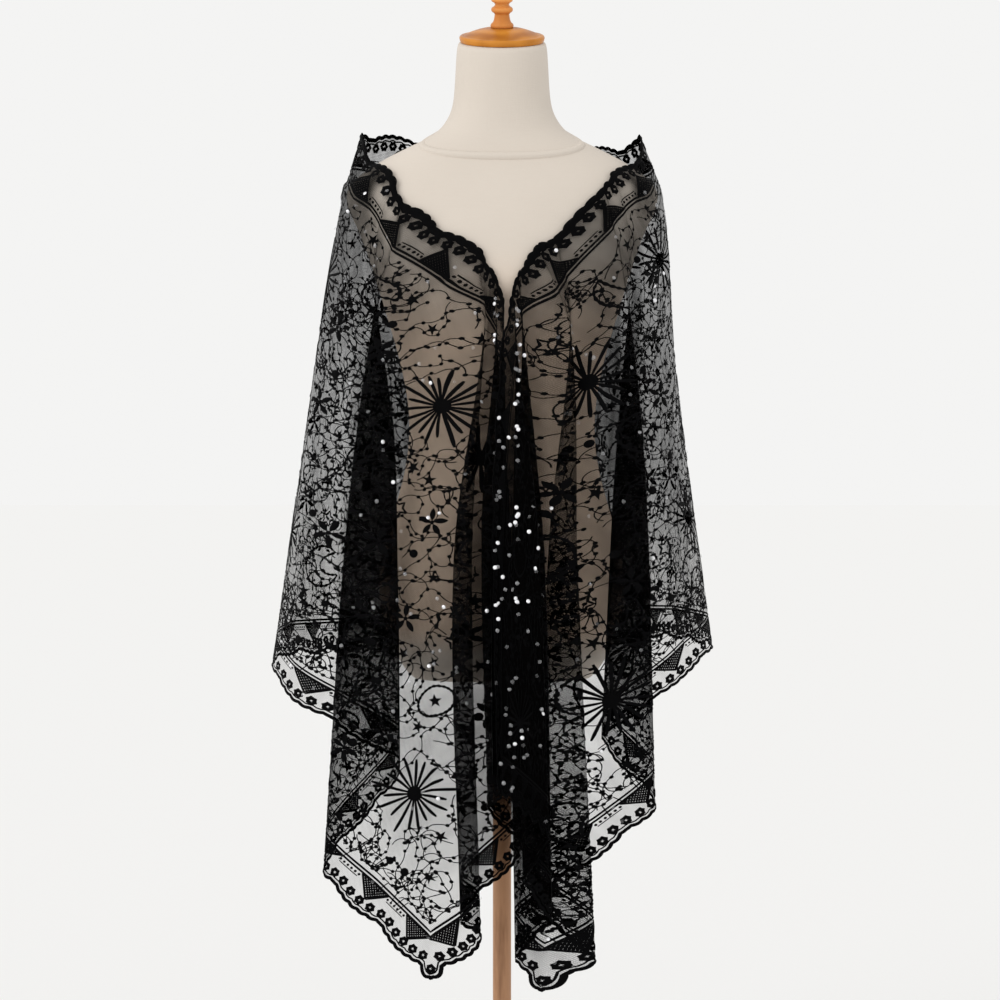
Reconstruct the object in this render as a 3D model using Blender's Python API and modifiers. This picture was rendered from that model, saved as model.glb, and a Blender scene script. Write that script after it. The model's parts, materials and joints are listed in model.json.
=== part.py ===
"""Embroidered net shawl draped over a limbless dress form on a round wooden foot.

The front looks along -Y, +X is the picture's right and the foot stands on z = 0,
with the pole on the Z axis.  Tables are in millimetres; meshes are in metres.

The shawl is one rectangle of net, CUT_LENGTH by CUT_WIDTH.  Its drape is given by
fold lines: each runs from the neck edge down to the hem, or to the short end, and
a smooth surface is carried across them.
"""
import math
from collections import namedtuple

import bpy
from mathutils import Vector

MM = 0.001

# --- the shawl's cut -------------------------------------------------------------
CUT_LENGTH = 2100.0
CUT_WIDTH = 650.0
NET_WALL = 1.4
SEAM_GAP = 0.8
SCALLOPS_LONG = 29
SCALLOPS_SHORT = 9
SCALLOP_DEPTH = 7.0
TAB_LENGTH = 24.0
TAB_RAMP = 6.0
LONG_PITCH = (CUT_LENGTH - 2 * TAB_LENGTH) / SCALLOPS_LONG
SHORT_PITCH = (CUT_WIDTH - 2 * TAB_LENGTH) / SCALLOPS_SHORT
COLUMNS_PER_SCALLOP = 4
MARK_SPACING = 0.3
BEND_SPACING = 1.8
PLAIN_HEM_SHARE = 0.6
BEND_SHARE = 0.12
BEND_RADIUS = 4.2
BEND_RADIUS_TOP = 1.0
FOLD_TEST_DROP = 0.7
SEAM_LOOK = 0.02
CLOTH_CLEARANCE = 4.6

# --- the dress form --------------------------------------------------------------
FORM_SIDES = 30
FORM_POWER = 2.3
FORM_BOTTOM = 720.0
NECK_FOOT = 1400.0
NECK_TILT = 18.0
WOOD_GAP = 0.3

FormSection = namedtuple("FormSection", "z half_width half_depth shift tilt")
FORM_SECTIONS = [
    FormSection(1482, 54, 53, -9, NECK_TILT),
    FormSection(1440, 56, 55, -5, 8),
    FormSection(1408, 58, 57, -1, 0),
    FormSection(1392, 64, 60, 2, 0),
    FormSection(1378, 74, 62, 4, 0),
    FormSection(1368, 87, 64, 5, 0),
    FormSection(1359, 107, 67, 6, 0),
    FormSection(1349, 128, 70, 6, 0),
    FormSection(1338, 149, 74, 5, 0),
    FormSection(1324, 170, 79, 4, 0),
    FormSection(1309, 185, 84, 2, 0),
    FormSection(1296, 188, 88, 0, 0),
    FormSection(1282, 184, 93, -1, 0),
    FormSection(1258, 171, 101, -3, 0),
    FormSection(1222, 158, 110, -6, 0),
    FormSection(1186, 147, 115, -8, 0),
    FormSection(1150, 136, 109, -7, 0),
    FormSection(1108, 123, 98, -5, 0),
    FormSection(1054, 111, 86, -2, 0),
    FormSection(1006, 109, 84, 0, 0),
    FormSection(958, 117, 94, 2, 0),
    FormSection(910, 132, 102, 5, 0),
    FormSection(862, 145, 110, 6, 0),
    FormSection(820, 148, 110, 6, 0),
    FormSection(776, 139, 104, 5, 0),
    FormSection(740, 122, 95, 2, 0),
    FormSection(FORM_BOTTOM, 106, 82, 2, 0),
]

CAP_RADIUS = 51.0
CAP_RIM = 8.0
CAP_DOME = 9.0
FINIAL_SEAT = 14.0
BALL_RADIUS = 15.0
BALL_HEIGHT = 50.0
BEAD_RING = 9.5
BEAD_RADIUS = 3.5
BEAD_HEIGHTS = (33.0, 21.0)
POLE_RADIUS = 11.0
BASE_RADIUS = 170.0
BASE_THICK = 26.0
SOCKET_RADIUS = 26.0
SOCKET_HEIGHT = 24.0

# --- the drape -------------------------------------------------------------------
# A fold line has four stations: the neck edge, the yoke, the middle and the hem.
STATIONS = (0.0, 0.12, 0.45, 1.0)
ROW_FRACTIONS = (0.0, 0.03, 0.06, 0.085, 0.11, 0.14, 0.18, 0.25, 0.35, 0.47, 0.6, 0.73, 0.87, 1.0)

# x, y at each station, z at both ends, and the places on the cut sheet that the
# two ends come from: s along the length from the middle, t across from the neck edge.
Fold = namedtuple("Fold", "name x_top y_top z_top x_yoke y_yoke x_mid y_mid "
                          "x_hem y_hem z_hem s_top s_hem t_hem")

CENTRE_BACK = Fold("centre_back", 0, 78, 1376, 0, 104, 0, 117, 0, 122, 748, 0, 0, 650)

LEFT_FOLDS = [
    Fold("back_1", -39, 77, 1377, -45, 109, -50, 131, -59, 142, 746, 40, 85, 650),
    Fold("back_2", -86, 68, 1378, -92, 100, -105, 112, -118, 110, 745, 88, 170, 650),
    Fold("back_3", -124, 50, 1379, -136, 92, -160, 117, -182, 134, 742, 130, 260, 650),
    Fold("back_4", -152, 28, 1379, -170, 64, -200, 84, -229, 84, 743, 170, 350, 650),
    Fold("arm_back", -168, 8, 1377, -188, 28, -221, 52, -262, 64, 742, 200, 430, 650),
    Fold("arm_crest", -164, -10, 1366, -190, -4, -226, 2, -276, 2, 732, 220, 510, 650),
    Fold("arm_front", -149, -34, 1337, -180, -38, -213, -44, -248, -52, 698, 260, 565, 650),
    Fold("arm_inner", -130, -50, 1321, -162, -62, -176, -74, -196, -84, 670, 290, 610, 650),
    Fold("pleat_back", -115, -60, 1304, -150, -70, -128, -84, -123, -92, 622, 310, 685, 650),
    Fold("pleat_front", -108, -70, 1281, -139, -88, -174, -112, -201, -128, 500, 335, 870, 650),
    Fold("panel", -84, -84, 1265, -108, -104, -126, -128, -144, -140, 442, 360, 958, 650),
    Fold("corner", -46, -102, 1238, -62, -118, -76, -134, -82, -148, 382, 410, 1050, 650),
    Fold("tail_1", -21, -112, 1220, -22, -127, -37, -141, -27, -150, 426, 440, 1050, 575),
    Fold("tail_2", -12, -115, 1208, -20, -122, -53, -127, -45, -134, 446, 460, 1050, 540),
    Fold("tail_3", -7, -121, 1196, -6, -128, 7, -120, 23, -126, 533, 475, 1050, 420),
    Fold("tail_4", -3, -129, 1183, -7, -135, -21, -137, -14, -138, 574, 487, 1050, 360),
    Fold("tail_5", 1, -135, 1172, 2, -142, 4, -147, 6, -148, 604, 497, 1050, 300),
    Fold("edge", 5, -139, 1161, 0, -149, -12, -156, -11, -158, 618, 510, 1050, 0),
]

RIGHT_FOLDS = [
    Fold("back_1", 39, 77, 1376, 45, 109, 53, 131, 63, 142, 746, 40, 85, 650),
    Fold("back_2", 86, 68, 1373, 92, 100, 105, 112, 120, 110, 752, 88, 170, 650),
    Fold("back_3", 115, 52, 1367, 129, 92, 152, 115, 178, 132, 760, 130, 260, 650),
    Fold("back_4", 138, 33, 1364, 162, 64, 185, 84, 215, 86, 762, 170, 350, 650),
    Fold("arm_back", 158, 10, 1368, 187, 28, 203, 50, 242, 60, 757, 200, 430, 650),
    Fold("arm_crest", 165, -8, 1371, 191, -4, 208, 0, 252, 0, 754, 220, 510, 650),
    Fold("arm_front", 156, -36, 1338, 180, -40, 189, -48, 217, -52, 727, 260, 565, 650),
    Fold("arm_inner", 139, -50, 1327, 162, -64, 161, -76, 175, -86, 694, 290, 610, 650),
    Fold("pleat_back", 122, -60, 1317, 151, -72, 136, -85, 119, -92, 655, 310, 660, 650),
    Fold("pleat_front", 115, -70, 1301, 138, -91, 162, -113, 172, -128, 577, 335, 780, 650),
    Fold("panel", 92, -86, 1275, 111, -114, 118, -124, 111, -129, 522, 360, 850, 650),
    Fold("tail_1", 56, -105, 1242, 80, -116, 57, -122, 37, -125, 462, 390, 935, 650),
    Fold("tail_2", 39, -112, 1228, 77, -132, 84, -136, 103, -143, 401, 420, 1010, 650),
    Fold("corner", 27, -117, 1215, 42, -138, 48, -145, 44, -153, 369, 440, 1050, 650),
    Fold("tail_3", 20, -120, 1206, 24, -139, 13, -150, 17, -158, 408, 460, 1050, 605),
    Fold("tail_4", 16, -124, 1194, 26, -145, 46, -157, 54, -164, 450, 475, 1050, 545),
    Fold("tail_5", 13, -128, 1184, 16, -150, 15, -163, 26, -170, 498, 487, 1050, 480),
    Fold("tail_6", 11, -133, 1173, 17, -157, 38, -169, 50, -176, 545, 497, 1050, 420),
    Fold("edge", 6, -143, 1161, -4, -165, -12, -177, -6, -184, 606, 510, 1050, 0),
]

STRETCHES = [
    ("shawl_tail_left", "edge_left", "corner_left"),
    ("shawl_front_left", "corner_left", "arm_inner_left"),
    ("shawl_arm_left", "arm_inner_left", "back_4_left"),
    ("shawl_back", "back_4_left", "back_4_right"),
    ("shawl_arm_right", "back_4_right", "arm_inner_right"),
    ("shawl_front_right", "arm_inner_right", "panel_right"),
    ("shawl_tail_right", "panel_right", "edge_right"),
]


# --- scene set-up ----------------------------------------------------------------
def clear_scene():
    for old in list(bpy.data.objects):
        bpy.data.objects.remove(old, do_unlink=True)


def make_collection(name):
    collection = bpy.data.collections.new(name)
    bpy.context.scene.collection.children.link(collection)
    return collection


def make_material(name, color, roughness, metallic=0.0):
    material = bpy.data.materials.new(name)
    material.use_nodes = True
    shader = material.node_tree.nodes["Principled BSDF"]
    shader.inputs["Base Color"].default_value = (*color, 1.0)
    shader.inputs["Roughness"].default_value = roughness
    shader.inputs["Metallic"].default_value = metallic
    return material


def add_object(name, points, faces, material, collection):
    """A mesh object from points in millimetres."""
    mesh = bpy.data.meshes.new(name)
    mesh.from_pydata([Vector(point) * MM for point in points], [], faces)
    mesh.materials.append(material)
    mesh.shade_smooth()
    piece = bpy.data.objects.new(name, mesh)
    collection.objects.link(piece)
    return piece


# --- curves through tabled values ------------------------------------------------
def spline(values, knots, at):
    """Smooth curve through the values, with slopes taken from both neighbours."""
    last = len(knots) - 1
    cell = max(0, min(last - 1, sum(knot <= at for knot in knots[1:last])))
    width = knots[cell + 1] - knots[cell]
    f = (at - knots[cell]) / width

    def slope(i):
        low, high = max(i - 1, 0), min(i + 1, last)
        return (values[high] - values[low]) / (knots[high] - knots[low])

    if f < 0.0 or f > 1.0:
        end = cell if f < 0.0 else cell + 1
        return values[end] + slope(end) * (at - knots[end])
    a = 2 * f ** 3 - 3 * f ** 2 + 1
    b = f ** 3 - 2 * f ** 2 + f
    c = -2 * f ** 3 + 3 * f ** 2
    d = f ** 3 - f ** 2
    start, end = values[cell], values[cell + 1]
    return a * start + b * width * slope(cell) + c * end + d * width * slope(cell + 1)


def blend(low, high, f):
    return low + (high - low) * f


# --- dress form ------------------------------------------------------------------
def form_section(z):
    """The form's half width, half depth and shift at a height."""
    if z >= FORM_SECTIONS[0].z:
        return FORM_SECTIONS[0]
    for upper, lower in zip(FORM_SECTIONS, FORM_SECTIONS[1:]):
        if z >= lower.z:
            f = (upper.z - z) / (upper.z - lower.z)
            return FormSection(*(blend(a, b, f) for a, b in zip(upper, lower)))
    return FORM_SECTIONS[-1]


def form_reach(x, y, z):
    """Below 1 inside the form's section at this height, above 1 outside."""
    section = form_section(z)
    across = (abs(x) / section.half_width) ** FORM_POWER
    deep = (abs(y - section.shift) / section.half_depth) ** FORM_POWER
    return (across + deep) ** (1.0 / FORM_POWER)


def form_distance(point):
    """Roughly how far a point lies outside the form, and the way out."""
    step = 2.0
    reach = form_reach(*point)
    slope = Vector([
        (form_reach(*(point + move)) - form_reach(*(point - move))) / (2 * step)
        for move in (Vector((step, 0, 0)), Vector((0, step, 0)), Vector((0, 0, step)))
    ])
    size = max(slope.length, 1e-6)
    return (reach - 1.0) / size, slope / size


def rest_on_form(point):
    """Moves a point of the cloth out to its clearance from the form."""
    if not FORM_BOTTOM < point.z < NECK_FOOT:
        return point
    for _ in range(4):
        distance, way_out = form_distance(point)
        if distance >= CLOTH_CLEARANCE:
            break
        point = point + way_out * (CLOTH_CLEARANCE - distance)
    return point


def build_torso(material, collection):
    points, faces = [], []
    for section in FORM_SECTIONS:
        for side in range(FORM_SIDES):
            angle = math.tau * side / FORM_SIDES
            cosine, sine = math.cos(angle), math.sin(angle)
            power = 2.0 / FORM_POWER
            x = math.copysign(abs(cosine) ** power, cosine) * section.half_width
            y = math.copysign(abs(sine) ** power, sine) * section.half_depth
            z = section.z + y * math.tan(math.radians(section.tilt))
            points.append((x, y + section.shift, z))
    for ring in range(len(FORM_SECTIONS) - 1):
        for side in range(FORM_SIDES):
            after = (side + 1) % FORM_SIDES
            upper, lower = ring * FORM_SIDES, (ring + 1) * FORM_SIDES
            faces.append((upper + side, lower + side, lower + after, upper + after))
    last = (len(FORM_SECTIONS) - 1) * FORM_SIDES
    faces.append(tuple(range(FORM_SIDES)))
    faces.append(tuple(last + side for side in reversed(range(FORM_SIDES))))
    return add_object("form_torso", points, faces, material, collection)


def turned(name, profile, steps, material, collection):
    """A turned solid: profile of (radius, height) from the top down, both ends at radius 0."""
    points = [(radius, 0.0, height) for radius, height in profile]
    mesh = bpy.data.meshes.new(name)
    mesh.from_pydata([Vector(point) * MM for point in points],
                     [(i, i + 1) for i in range(len(points) - 1)], [])
    mesh.materials.append(material)
    piece = bpy.data.objects.new(name, mesh)
    collection.objects.link(piece)
    screw = piece.modifiers.new("turn", "SCREW")
    screw.steps = steps
    screw.render_steps = steps
    screw.use_merge_vertices = True
    screw.merge_threshold = 0.00005
    screw.use_smooth_shade = True
    return piece


def arc(centre_radius, centre_height, size, start, end, steps):
    """Profile points on a round: angles in degrees, 0 outwards and 90 up."""
    turns = [math.radians(blend(start, end, i / steps)) for i in range(steps + 1)]
    return [(centre_radius + size * math.cos(a), centre_height + size * math.sin(a)) for a in turns]


def neck_top():
    """Centre of the neck's slanted top face, and the turn that lays wood on it."""
    top = FORM_SECTIONS[0]
    return Vector((0.0, top.shift, top.z)) * MM, math.radians(top.tilt)


def build_cap(material, collection):
    dome = [(blend(FINIAL_SEAT, CAP_RADIUS - 3.0, f), CAP_RIM + CAP_DOME * (1.0 - f ** 1.6))
            for f in (0.0, 0.3, 0.6, 0.85)]
    rim = arc(CAP_RADIUS - 3.0, CAP_RIM - 3.0, 3.0, 80, 0, 3)
    profile = [(0.0, CAP_RIM + CAP_DOME), *dome, *rim, (CAP_RADIUS - 1.0, WOOD_GAP), (0.0, WOOD_GAP)]
    cap = turned("neck_cap", profile, 32, material, collection)
    cap.location, tilt = neck_top()
    cap.rotation_euler.x = tilt
    return cap


def build_finial(material, collection):
    foot = CAP_RIM + CAP_DOME + WOOD_GAP
    ball = arc(0.0, foot + BALL_HEIGHT, BALL_RADIUS, 88, -42, 7)
    ball[0] = (0.0, foot + BALL_HEIGHT + BALL_RADIUS)
    upper_bead, lower_bead = (arc(BEAD_RING, foot + height, BEAD_RADIUS, 70, -70, 4)
                              for height in BEAD_HEIGHTS)
    flare = [(9.0, foot + 14.0), (10.0, foot + 8.0), (13.5, foot + 4.0), (13.5, foot), (0.0, foot)]
    profile = [*ball, (8.0, foot + 38.0), *upper_bead, (8.5, foot + 27.0), *lower_bead, *flare]
    finial = turned("finial", profile, 20, material, collection)
    finial.location, tilt = neck_top()
    finial.rotation_euler.x = tilt
    return finial


def build_pole(material, collection):
    top, bottom = FORM_BOTTOM - WOOD_GAP, BASE_THICK + SOCKET_HEIGHT + WOOD_GAP
    bpy.ops.mesh.primitive_cylinder_add(vertices=24, radius=POLE_RADIUS * MM,
                                        depth=(top - bottom) * MM,
                                        location=(0, 0, (top + bottom) / 2 * MM))
    pole = bpy.context.object
    pole.name = "pole"
    pole.data.materials.append(material)
    for owner in pole.users_collection:
        owner.objects.unlink(pole)
    collection.objects.link(pole)
    return pole


def build_base(material, collection):
    collar = BASE_THICK + SOCKET_HEIGHT
    profile = [
        (0.0, collar), (SOCKET_RADIUS - 6.0, collar),
        *arc(SOCKET_RADIUS - 8.0, collar - 8.0, 8.0, 60, 0, 3),
        (SOCKET_RADIUS - 8.0, collar - 18.0), (SOCKET_RADIUS + 8.0, BASE_THICK),
        (BASE_RADIUS - 12.0, BASE_THICK - 4.0),
        *arc(BASE_RADIUS - 10.0, BASE_THICK - 14.0, 10.0, 70, 0, 4),
        (BASE_RADIUS, 3.0), (BASE_RADIUS - 3.0, 0.0), (0.0, 0.0),
    ]
    return turned("base", profile, 48, material, collection)


# --- the draped sheet ------------------------------------------------------------
def all_folds():
    """Every fold line from the left neck edge, round the back, to the right one."""
    left = [fold._replace(name=fold.name + "_left", s_top=-fold.s_top, s_hem=-fold.s_hem)
            for fold in reversed(LEFT_FOLDS)]
    right = [fold._replace(name=fold.name + "_right") for fold in RIGHT_FOLDS]
    return left + [CENTRE_BACK] + right


FOLDS = all_folds()
FOLD_PLACE = {fold.name: place for place, fold in enumerate(FOLDS)}


def on_fold(fold, w):
    """Plan position of a fold line at fraction w of its drop."""
    x = spline((fold.x_top, fold.x_yoke, fold.x_mid, fold.x_hem), STATIONS, w)
    y = spline((fold.y_top, fold.y_yoke, fold.y_mid, fold.y_hem), STATIONS, w)
    return Vector((x, y))


def is_sharp(place):
    """Whether the sheet turns back on itself at a fold line."""
    if not 0 < place < len(FOLDS) - 1:
        return False
    before, here, after = (on_fold(FOLDS[place + step], FOLD_TEST_DROP) for step in (-1, 0, 1))
    return (here - before).dot(after - here) < 0.0


def drape_lines():
    """Lines that the surface is carried across: two, side by side, where a fold is sharp."""
    lines = []
    for place in range(len(FOLDS)):
        sides = (-1, 1) if is_sharp(place) else (0,)
        lines += [(place + side * BEND_SHARE, place, side) for side in sides]
    return lines


LINES = drape_lines()


def on_line(line, w):
    """Plan position of a line: a sharp fold's two lines stand either side of its bend."""
    _, place, side = line
    here = on_fold(FOLDS[place], w)
    if side == 0:
        return here
    before, after = on_fold(FOLDS[place - 1], w), on_fold(FOLDS[place + 1], w)
    way_through = ((here - before).normalized() + (after - here).normalized()).normalized()
    opened = min(w / STATIONS[2], 1.0)
    return here + way_through * side * blend(BEND_RADIUS_TOP, BEND_RADIUS, opened)


def across_folds(u, w):
    """Plan position between lines: a smooth curve whose knots follow their spacing."""
    first = 0
    while first < len(LINES) - 2 and LINES[first + 1][0] <= u:
        first += 1
    cells = range(max(first - 1, 0), min(first + 2, len(LINES) - 1) + 1)
    plan = [on_line(LINES[cell], w) for cell in cells]
    knots = [0.0]
    for before, after in zip(plan, plan[1:]):
        knots.append(knots[-1] + math.sqrt(max((after - before).length, 0.01)))
    start = first - cells[0]
    f = (u - LINES[first][0]) / (LINES[first + 1][0] - LINES[first][0])
    at = blend(knots[start], knots[start + 1], f)
    return [spline([point[axis] for point in plan], knots, at) for axis in (0, 1)]


def fold_value(u, name):
    """A tabled value at u, straight between fold lines."""
    first = max(0, min(len(FOLDS) - 2, int(u)))
    return blend(getattr(FOLDS[first], name), getattr(FOLDS[first + 1], name), u - first)


def top_height(u):
    places = [float(i) for i in range(len(FOLDS))]
    return spline([fold.z_top for fold in FOLDS], places, u)


def hem_run(u):
    """Distance along the hem and round the corner from the middle of the back."""
    s_hem, t_hem = fold_value(u, "s_hem"), fold_value(u, "t_hem")
    return math.copysign(abs(s_hem) + CUT_WIDTH - t_hem, s_hem)


def scallop(run, side, pitch):
    """How far the edge is cut back, at a distance from the middle of a side: scallops,
    and a square tab at each corner."""
    into_tab = abs(run) - (side / 2 - TAB_LENGTH)
    if into_tab > 0.0:
        return SCALLOP_DEPTH * (1.0 - min(into_tab / TAB_RAMP, 1.0))
    return SCALLOP_DEPTH * (1.0 - abs(math.cos(math.pi * run / pitch)))


def edge_cuts(u):
    """Fractions of the drop by which the scallops shorten the sheet at each end."""
    drop = top_height(u) - fold_value(u, "z_hem")
    top = scallop(fold_value(u, "s_top"), CUT_LENGTH, LONG_PITCH)
    run = abs(hem_run(u))
    past_corner = run - CUT_LENGTH / 2
    if past_corner <= 0.0:
        bottom = scallop(run, CUT_LENGTH, LONG_PITCH)
    else:
        bottom = scallop(past_corner - CUT_WIDTH / 2, CUT_WIDTH, SHORT_PITCH)
    if fold_value(u, "t_hem") < PLAIN_HEM_SHARE * CUT_WIDTH:
        bottom = 0.0
    return top / drop, bottom / drop


def drape(u, w):
    """A point of the hanging sheet: u counts fold lines, w goes from neck edge to hem."""
    x, y = across_folds(u, w)
    z = blend(top_height(u), fold_value(u, "z_hem"), w)
    return rest_on_form(Vector((x, y, z)))


def columns_between(start, end):
    """Places where the sheet is cut into columns: fold lines, and points of each scallop."""
    wanted = [float(place) for place in range(start, end + 1)]
    for place in range(start, end + 1):
        if is_sharp(place):
            wanted += [place + side * BEND_SHARE for side in (-1, 1)
                       if start < place + side * BEND_SHARE < end]
    step = LONG_PITCH / COLUMNS_PER_SCALLOP
    for place in range(start, end):
        low, high = sorted((hem_run(place), hem_run(place + 1)))
        mark = math.ceil(low / step)
        marks = []
        while mark * step < high:
            marks.append((mark * step - hem_run(place)) / (hem_run(place + 1) - hem_run(place)))
            mark += 1
        near = max(MARK_SPACING * step / (high - low), BEND_SPACING * BEND_SHARE)
        marks = [f for f in marks if near < f < 1.0 - near]
        hidden = min(FOLDS[place].t_hem, FOLDS[place + 1].t_hem) < PLAIN_HEM_SHARE * CUT_WIDTH
        if hidden or not marks:
            marks = [0.33, 0.67]
        wanted += [place + f for f in marks]
    return sorted(wanted)


def build_stretch(name, first, last, material, collection):
    """One stretch of the sheet as a thin wall, parted from its neighbours at the seams."""
    start, end = FOLD_PLACE[first], FOLD_PLACE[last]
    columns = columns_between(start, end)
    grid = []
    for u in columns:
        cut_top, cut_hem = edge_cuts(u)
        rows = [blend(cut_top, 1.0 - cut_hem, w) for w in ROW_FRACTIONS]
        line = [drape(u, w) for w in rows]
        inward = 0
        if u == columns[0] and start > 0:
            inward = 1
        if u == columns[-1] and end < len(FOLDS) - 1:
            inward = -1
        if inward:
            beside = [drape(u + SEAM_LOOK * inward, w) for w in rows]
            line = [point + (next_point - point).normalized() * (SEAM_GAP / 2)
                    for point, next_point in zip(line, beside)]
        grid.append(line)
    height = len(ROW_FRACTIONS)
    points = [point for line in grid for point in line]
    faces = [
        (c * height + r, c * height + r + 1, (c + 1) * height + r + 1, (c + 1) * height + r)
        for c in range(len(grid) - 1) for r in range(height - 1)
    ]
    piece = add_object(name, points, faces, material, collection)
    wall = piece.modifiers.new("wall", "SOLIDIFY")
    wall.thickness = NET_WALL * MM
    wall.offset = 0.0
    wall.use_even_offset = False
    return piece


def main():
    clear_scene()
    parts = make_collection("shawl_on_dress_form")
    linen = make_material("linen", (0.72, 0.67, 0.58), 0.9)
    wood = make_material("honey_wood", (0.52, 0.26, 0.09), 0.35)
    net = make_material("black_net", (0.02, 0.02, 0.022), 0.7)
    build_torso(linen, parts)
    build_cap(wood, parts)
    build_finial(wood, parts)
    build_pole(wood, parts)
    build_base(wood, parts)
    for name, first, last in STRETCHES:
        build_stretch(name, first, last, net, parts)


main()
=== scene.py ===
# %% [markdown]
# # An embroidered net shawl on a dress form
# The real object is one long rectangle of black tulle, worked all over with satin
# thread and small clear sequins, laid round the shoulders of a linen dress form.
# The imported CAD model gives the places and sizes. This lesson builds the looks in
# the same frame: first the room, then the stand, then the net and its stitches.

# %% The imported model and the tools
import json
import math
import random

import bmesh
import bpy
import numpy as np
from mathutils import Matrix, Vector

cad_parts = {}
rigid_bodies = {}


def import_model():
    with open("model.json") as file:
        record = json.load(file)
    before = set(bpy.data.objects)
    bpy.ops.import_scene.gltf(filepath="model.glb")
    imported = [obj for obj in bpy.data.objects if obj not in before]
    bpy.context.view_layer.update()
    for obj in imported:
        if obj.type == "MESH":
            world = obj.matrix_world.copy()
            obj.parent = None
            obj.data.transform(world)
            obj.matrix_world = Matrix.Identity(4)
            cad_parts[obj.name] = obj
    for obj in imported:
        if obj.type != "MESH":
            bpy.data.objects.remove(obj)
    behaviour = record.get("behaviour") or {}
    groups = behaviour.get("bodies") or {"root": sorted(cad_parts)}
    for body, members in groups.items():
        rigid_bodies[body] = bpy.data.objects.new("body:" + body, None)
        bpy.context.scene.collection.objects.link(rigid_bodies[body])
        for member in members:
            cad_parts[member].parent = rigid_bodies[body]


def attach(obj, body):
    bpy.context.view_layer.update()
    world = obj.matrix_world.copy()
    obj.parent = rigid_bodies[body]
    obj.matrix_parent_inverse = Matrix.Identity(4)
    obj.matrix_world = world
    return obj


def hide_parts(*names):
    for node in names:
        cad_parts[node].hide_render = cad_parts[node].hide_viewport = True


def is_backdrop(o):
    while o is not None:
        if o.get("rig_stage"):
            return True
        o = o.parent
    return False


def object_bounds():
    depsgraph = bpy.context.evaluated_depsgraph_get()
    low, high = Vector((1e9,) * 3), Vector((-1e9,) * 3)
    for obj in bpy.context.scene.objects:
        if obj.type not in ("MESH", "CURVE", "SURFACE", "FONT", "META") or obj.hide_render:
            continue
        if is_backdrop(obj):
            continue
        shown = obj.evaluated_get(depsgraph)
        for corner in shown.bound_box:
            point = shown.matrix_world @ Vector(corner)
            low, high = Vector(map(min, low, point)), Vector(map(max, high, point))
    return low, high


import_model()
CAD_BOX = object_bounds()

MM = 0.001
print("CAD box", [[round(value, 3) for value in corner] for corner in CAD_BOX])

# %% [markdown]
# ## The camera
# The photograph was taken level, from about chest height, with a long lens, so the
# sides of the form stay straight. A lens of 90 mm at 3 m frames 1.2 m of the form.

# %% Camera at the photograph's place
CAMERA_PLACE = (-0.0024, -3.0, 0.934)
CAMERA_TURN = (math.radians(90.0), 0.0, 0.0)
LENS, SENSOR_WIDTH = 90.0, 36.0
bpy.ops.object.camera_add(location=CAMERA_PLACE, rotation=CAMERA_TURN)
camera = bpy.context.object
camera.name = "camera"
camera.data.lens = LENS
camera.data.sensor_width = SENSOR_WIDTH
bpy.context.scene.camera = camera
print("camera at", CAMERA_PLACE, "lens", LENS)

# %% [markdown]
# ## The room
# Black net shows its pattern only against something pale and even. The sky and the
# floor get the same brightness, so no horizon line shows through the net, and one
# broad sun from the front left gives the linen its soft shape.

# %% Floor, sky and soft light
ROOM_TONE = (0.905, 0.903, 0.895)
FLOOR_TONE = (0.868, 0.865, 0.858)
FLOOR_SIZE = 900.0
SUN_ENERGY, SUN_SPREAD = 1.0, 55.0
SUN_PLACE, SUN_TURN = (-2, -2, 4), (math.radians(66.0), 0.0, math.radians(-52.0))
# How many layers of net a ray may pass
NET_LAYERS = 24


def plain_material(name, color, roughness, sockets):
    """A material with its Principled shader's own sockets set."""
    material = bpy.data.materials.new(name)
    material.use_nodes = True
    shader = material.node_tree.nodes["Principled BSDF"]
    for label, value in {"Base Color": (*color, 1.0), "Roughness": roughness, **sockets}.items():
        shader.inputs[label].default_value = value
    return material


bpy.context.scene.view_settings.view_transform = "Standard"
bpy.context.scene.cycles.transparent_max_bounces = NET_LAYERS
world = bpy.data.worlds.new("studio_sky")
bpy.context.scene.world = world
world.use_nodes = True
world.node_tree.nodes["Background"].inputs["Color"].default_value = (*ROOM_TONE, 1.0)
bpy.ops.object.select_all(action="DESELECT")
bpy.ops.mesh.primitive_plane_add(size=FLOOR_SIZE, location=(0, 0, 0))
floor = bpy.context.object
floor.name = "floor"
paper = plain_material("floor_paper", FLOOR_TONE, 0.95, {"Specular IOR Level": 0.0})
floor.data.materials.append(paper)
floor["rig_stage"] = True
bpy.ops.object.light_add(type="SUN", location=SUN_PLACE, rotation=SUN_TURN)
sun = bpy.context.object
sun.name = "soft_sun"
sun.data.energy = SUN_ENERGY
sun.data.angle = math.radians(SUN_SPREAD)
print("floor", FLOOR_SIZE, "m, sun", SUN_ENERGY)

# %% [markdown]
# ## Shared surface effects
# Linen, wood, net and thread each need a small pattern at their own scale. A node
# group holds one pattern with named inputs, and every material that uses it sets
# its own values. The groups give only values; the shaders stay in the materials.

# %% Group helpers
VALUE, VECTOR = "NodeSocketFloat", "NodeSocketVector"


def new_group(name, values, results):
    """An empty node group, with the sockets it is given and the ones it gives."""
    group = bpy.data.node_groups.new(name, "ShaderNodeTree")
    group.interface.new_socket("Vector", in_out="INPUT", socket_type=VECTOR)
    for label, value in values.items():
        socket = group.interface.new_socket(label, in_out="INPUT", socket_type=VALUE)
        socket.default_value = value
    for label in results:
        group.interface.new_socket(label, in_out="OUTPUT", socket_type=VALUE)
    start, end = group.nodes.new("NodeGroupInput"), group.nodes.new("NodeGroupOutput")
    return group, start.outputs, end.inputs


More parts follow.
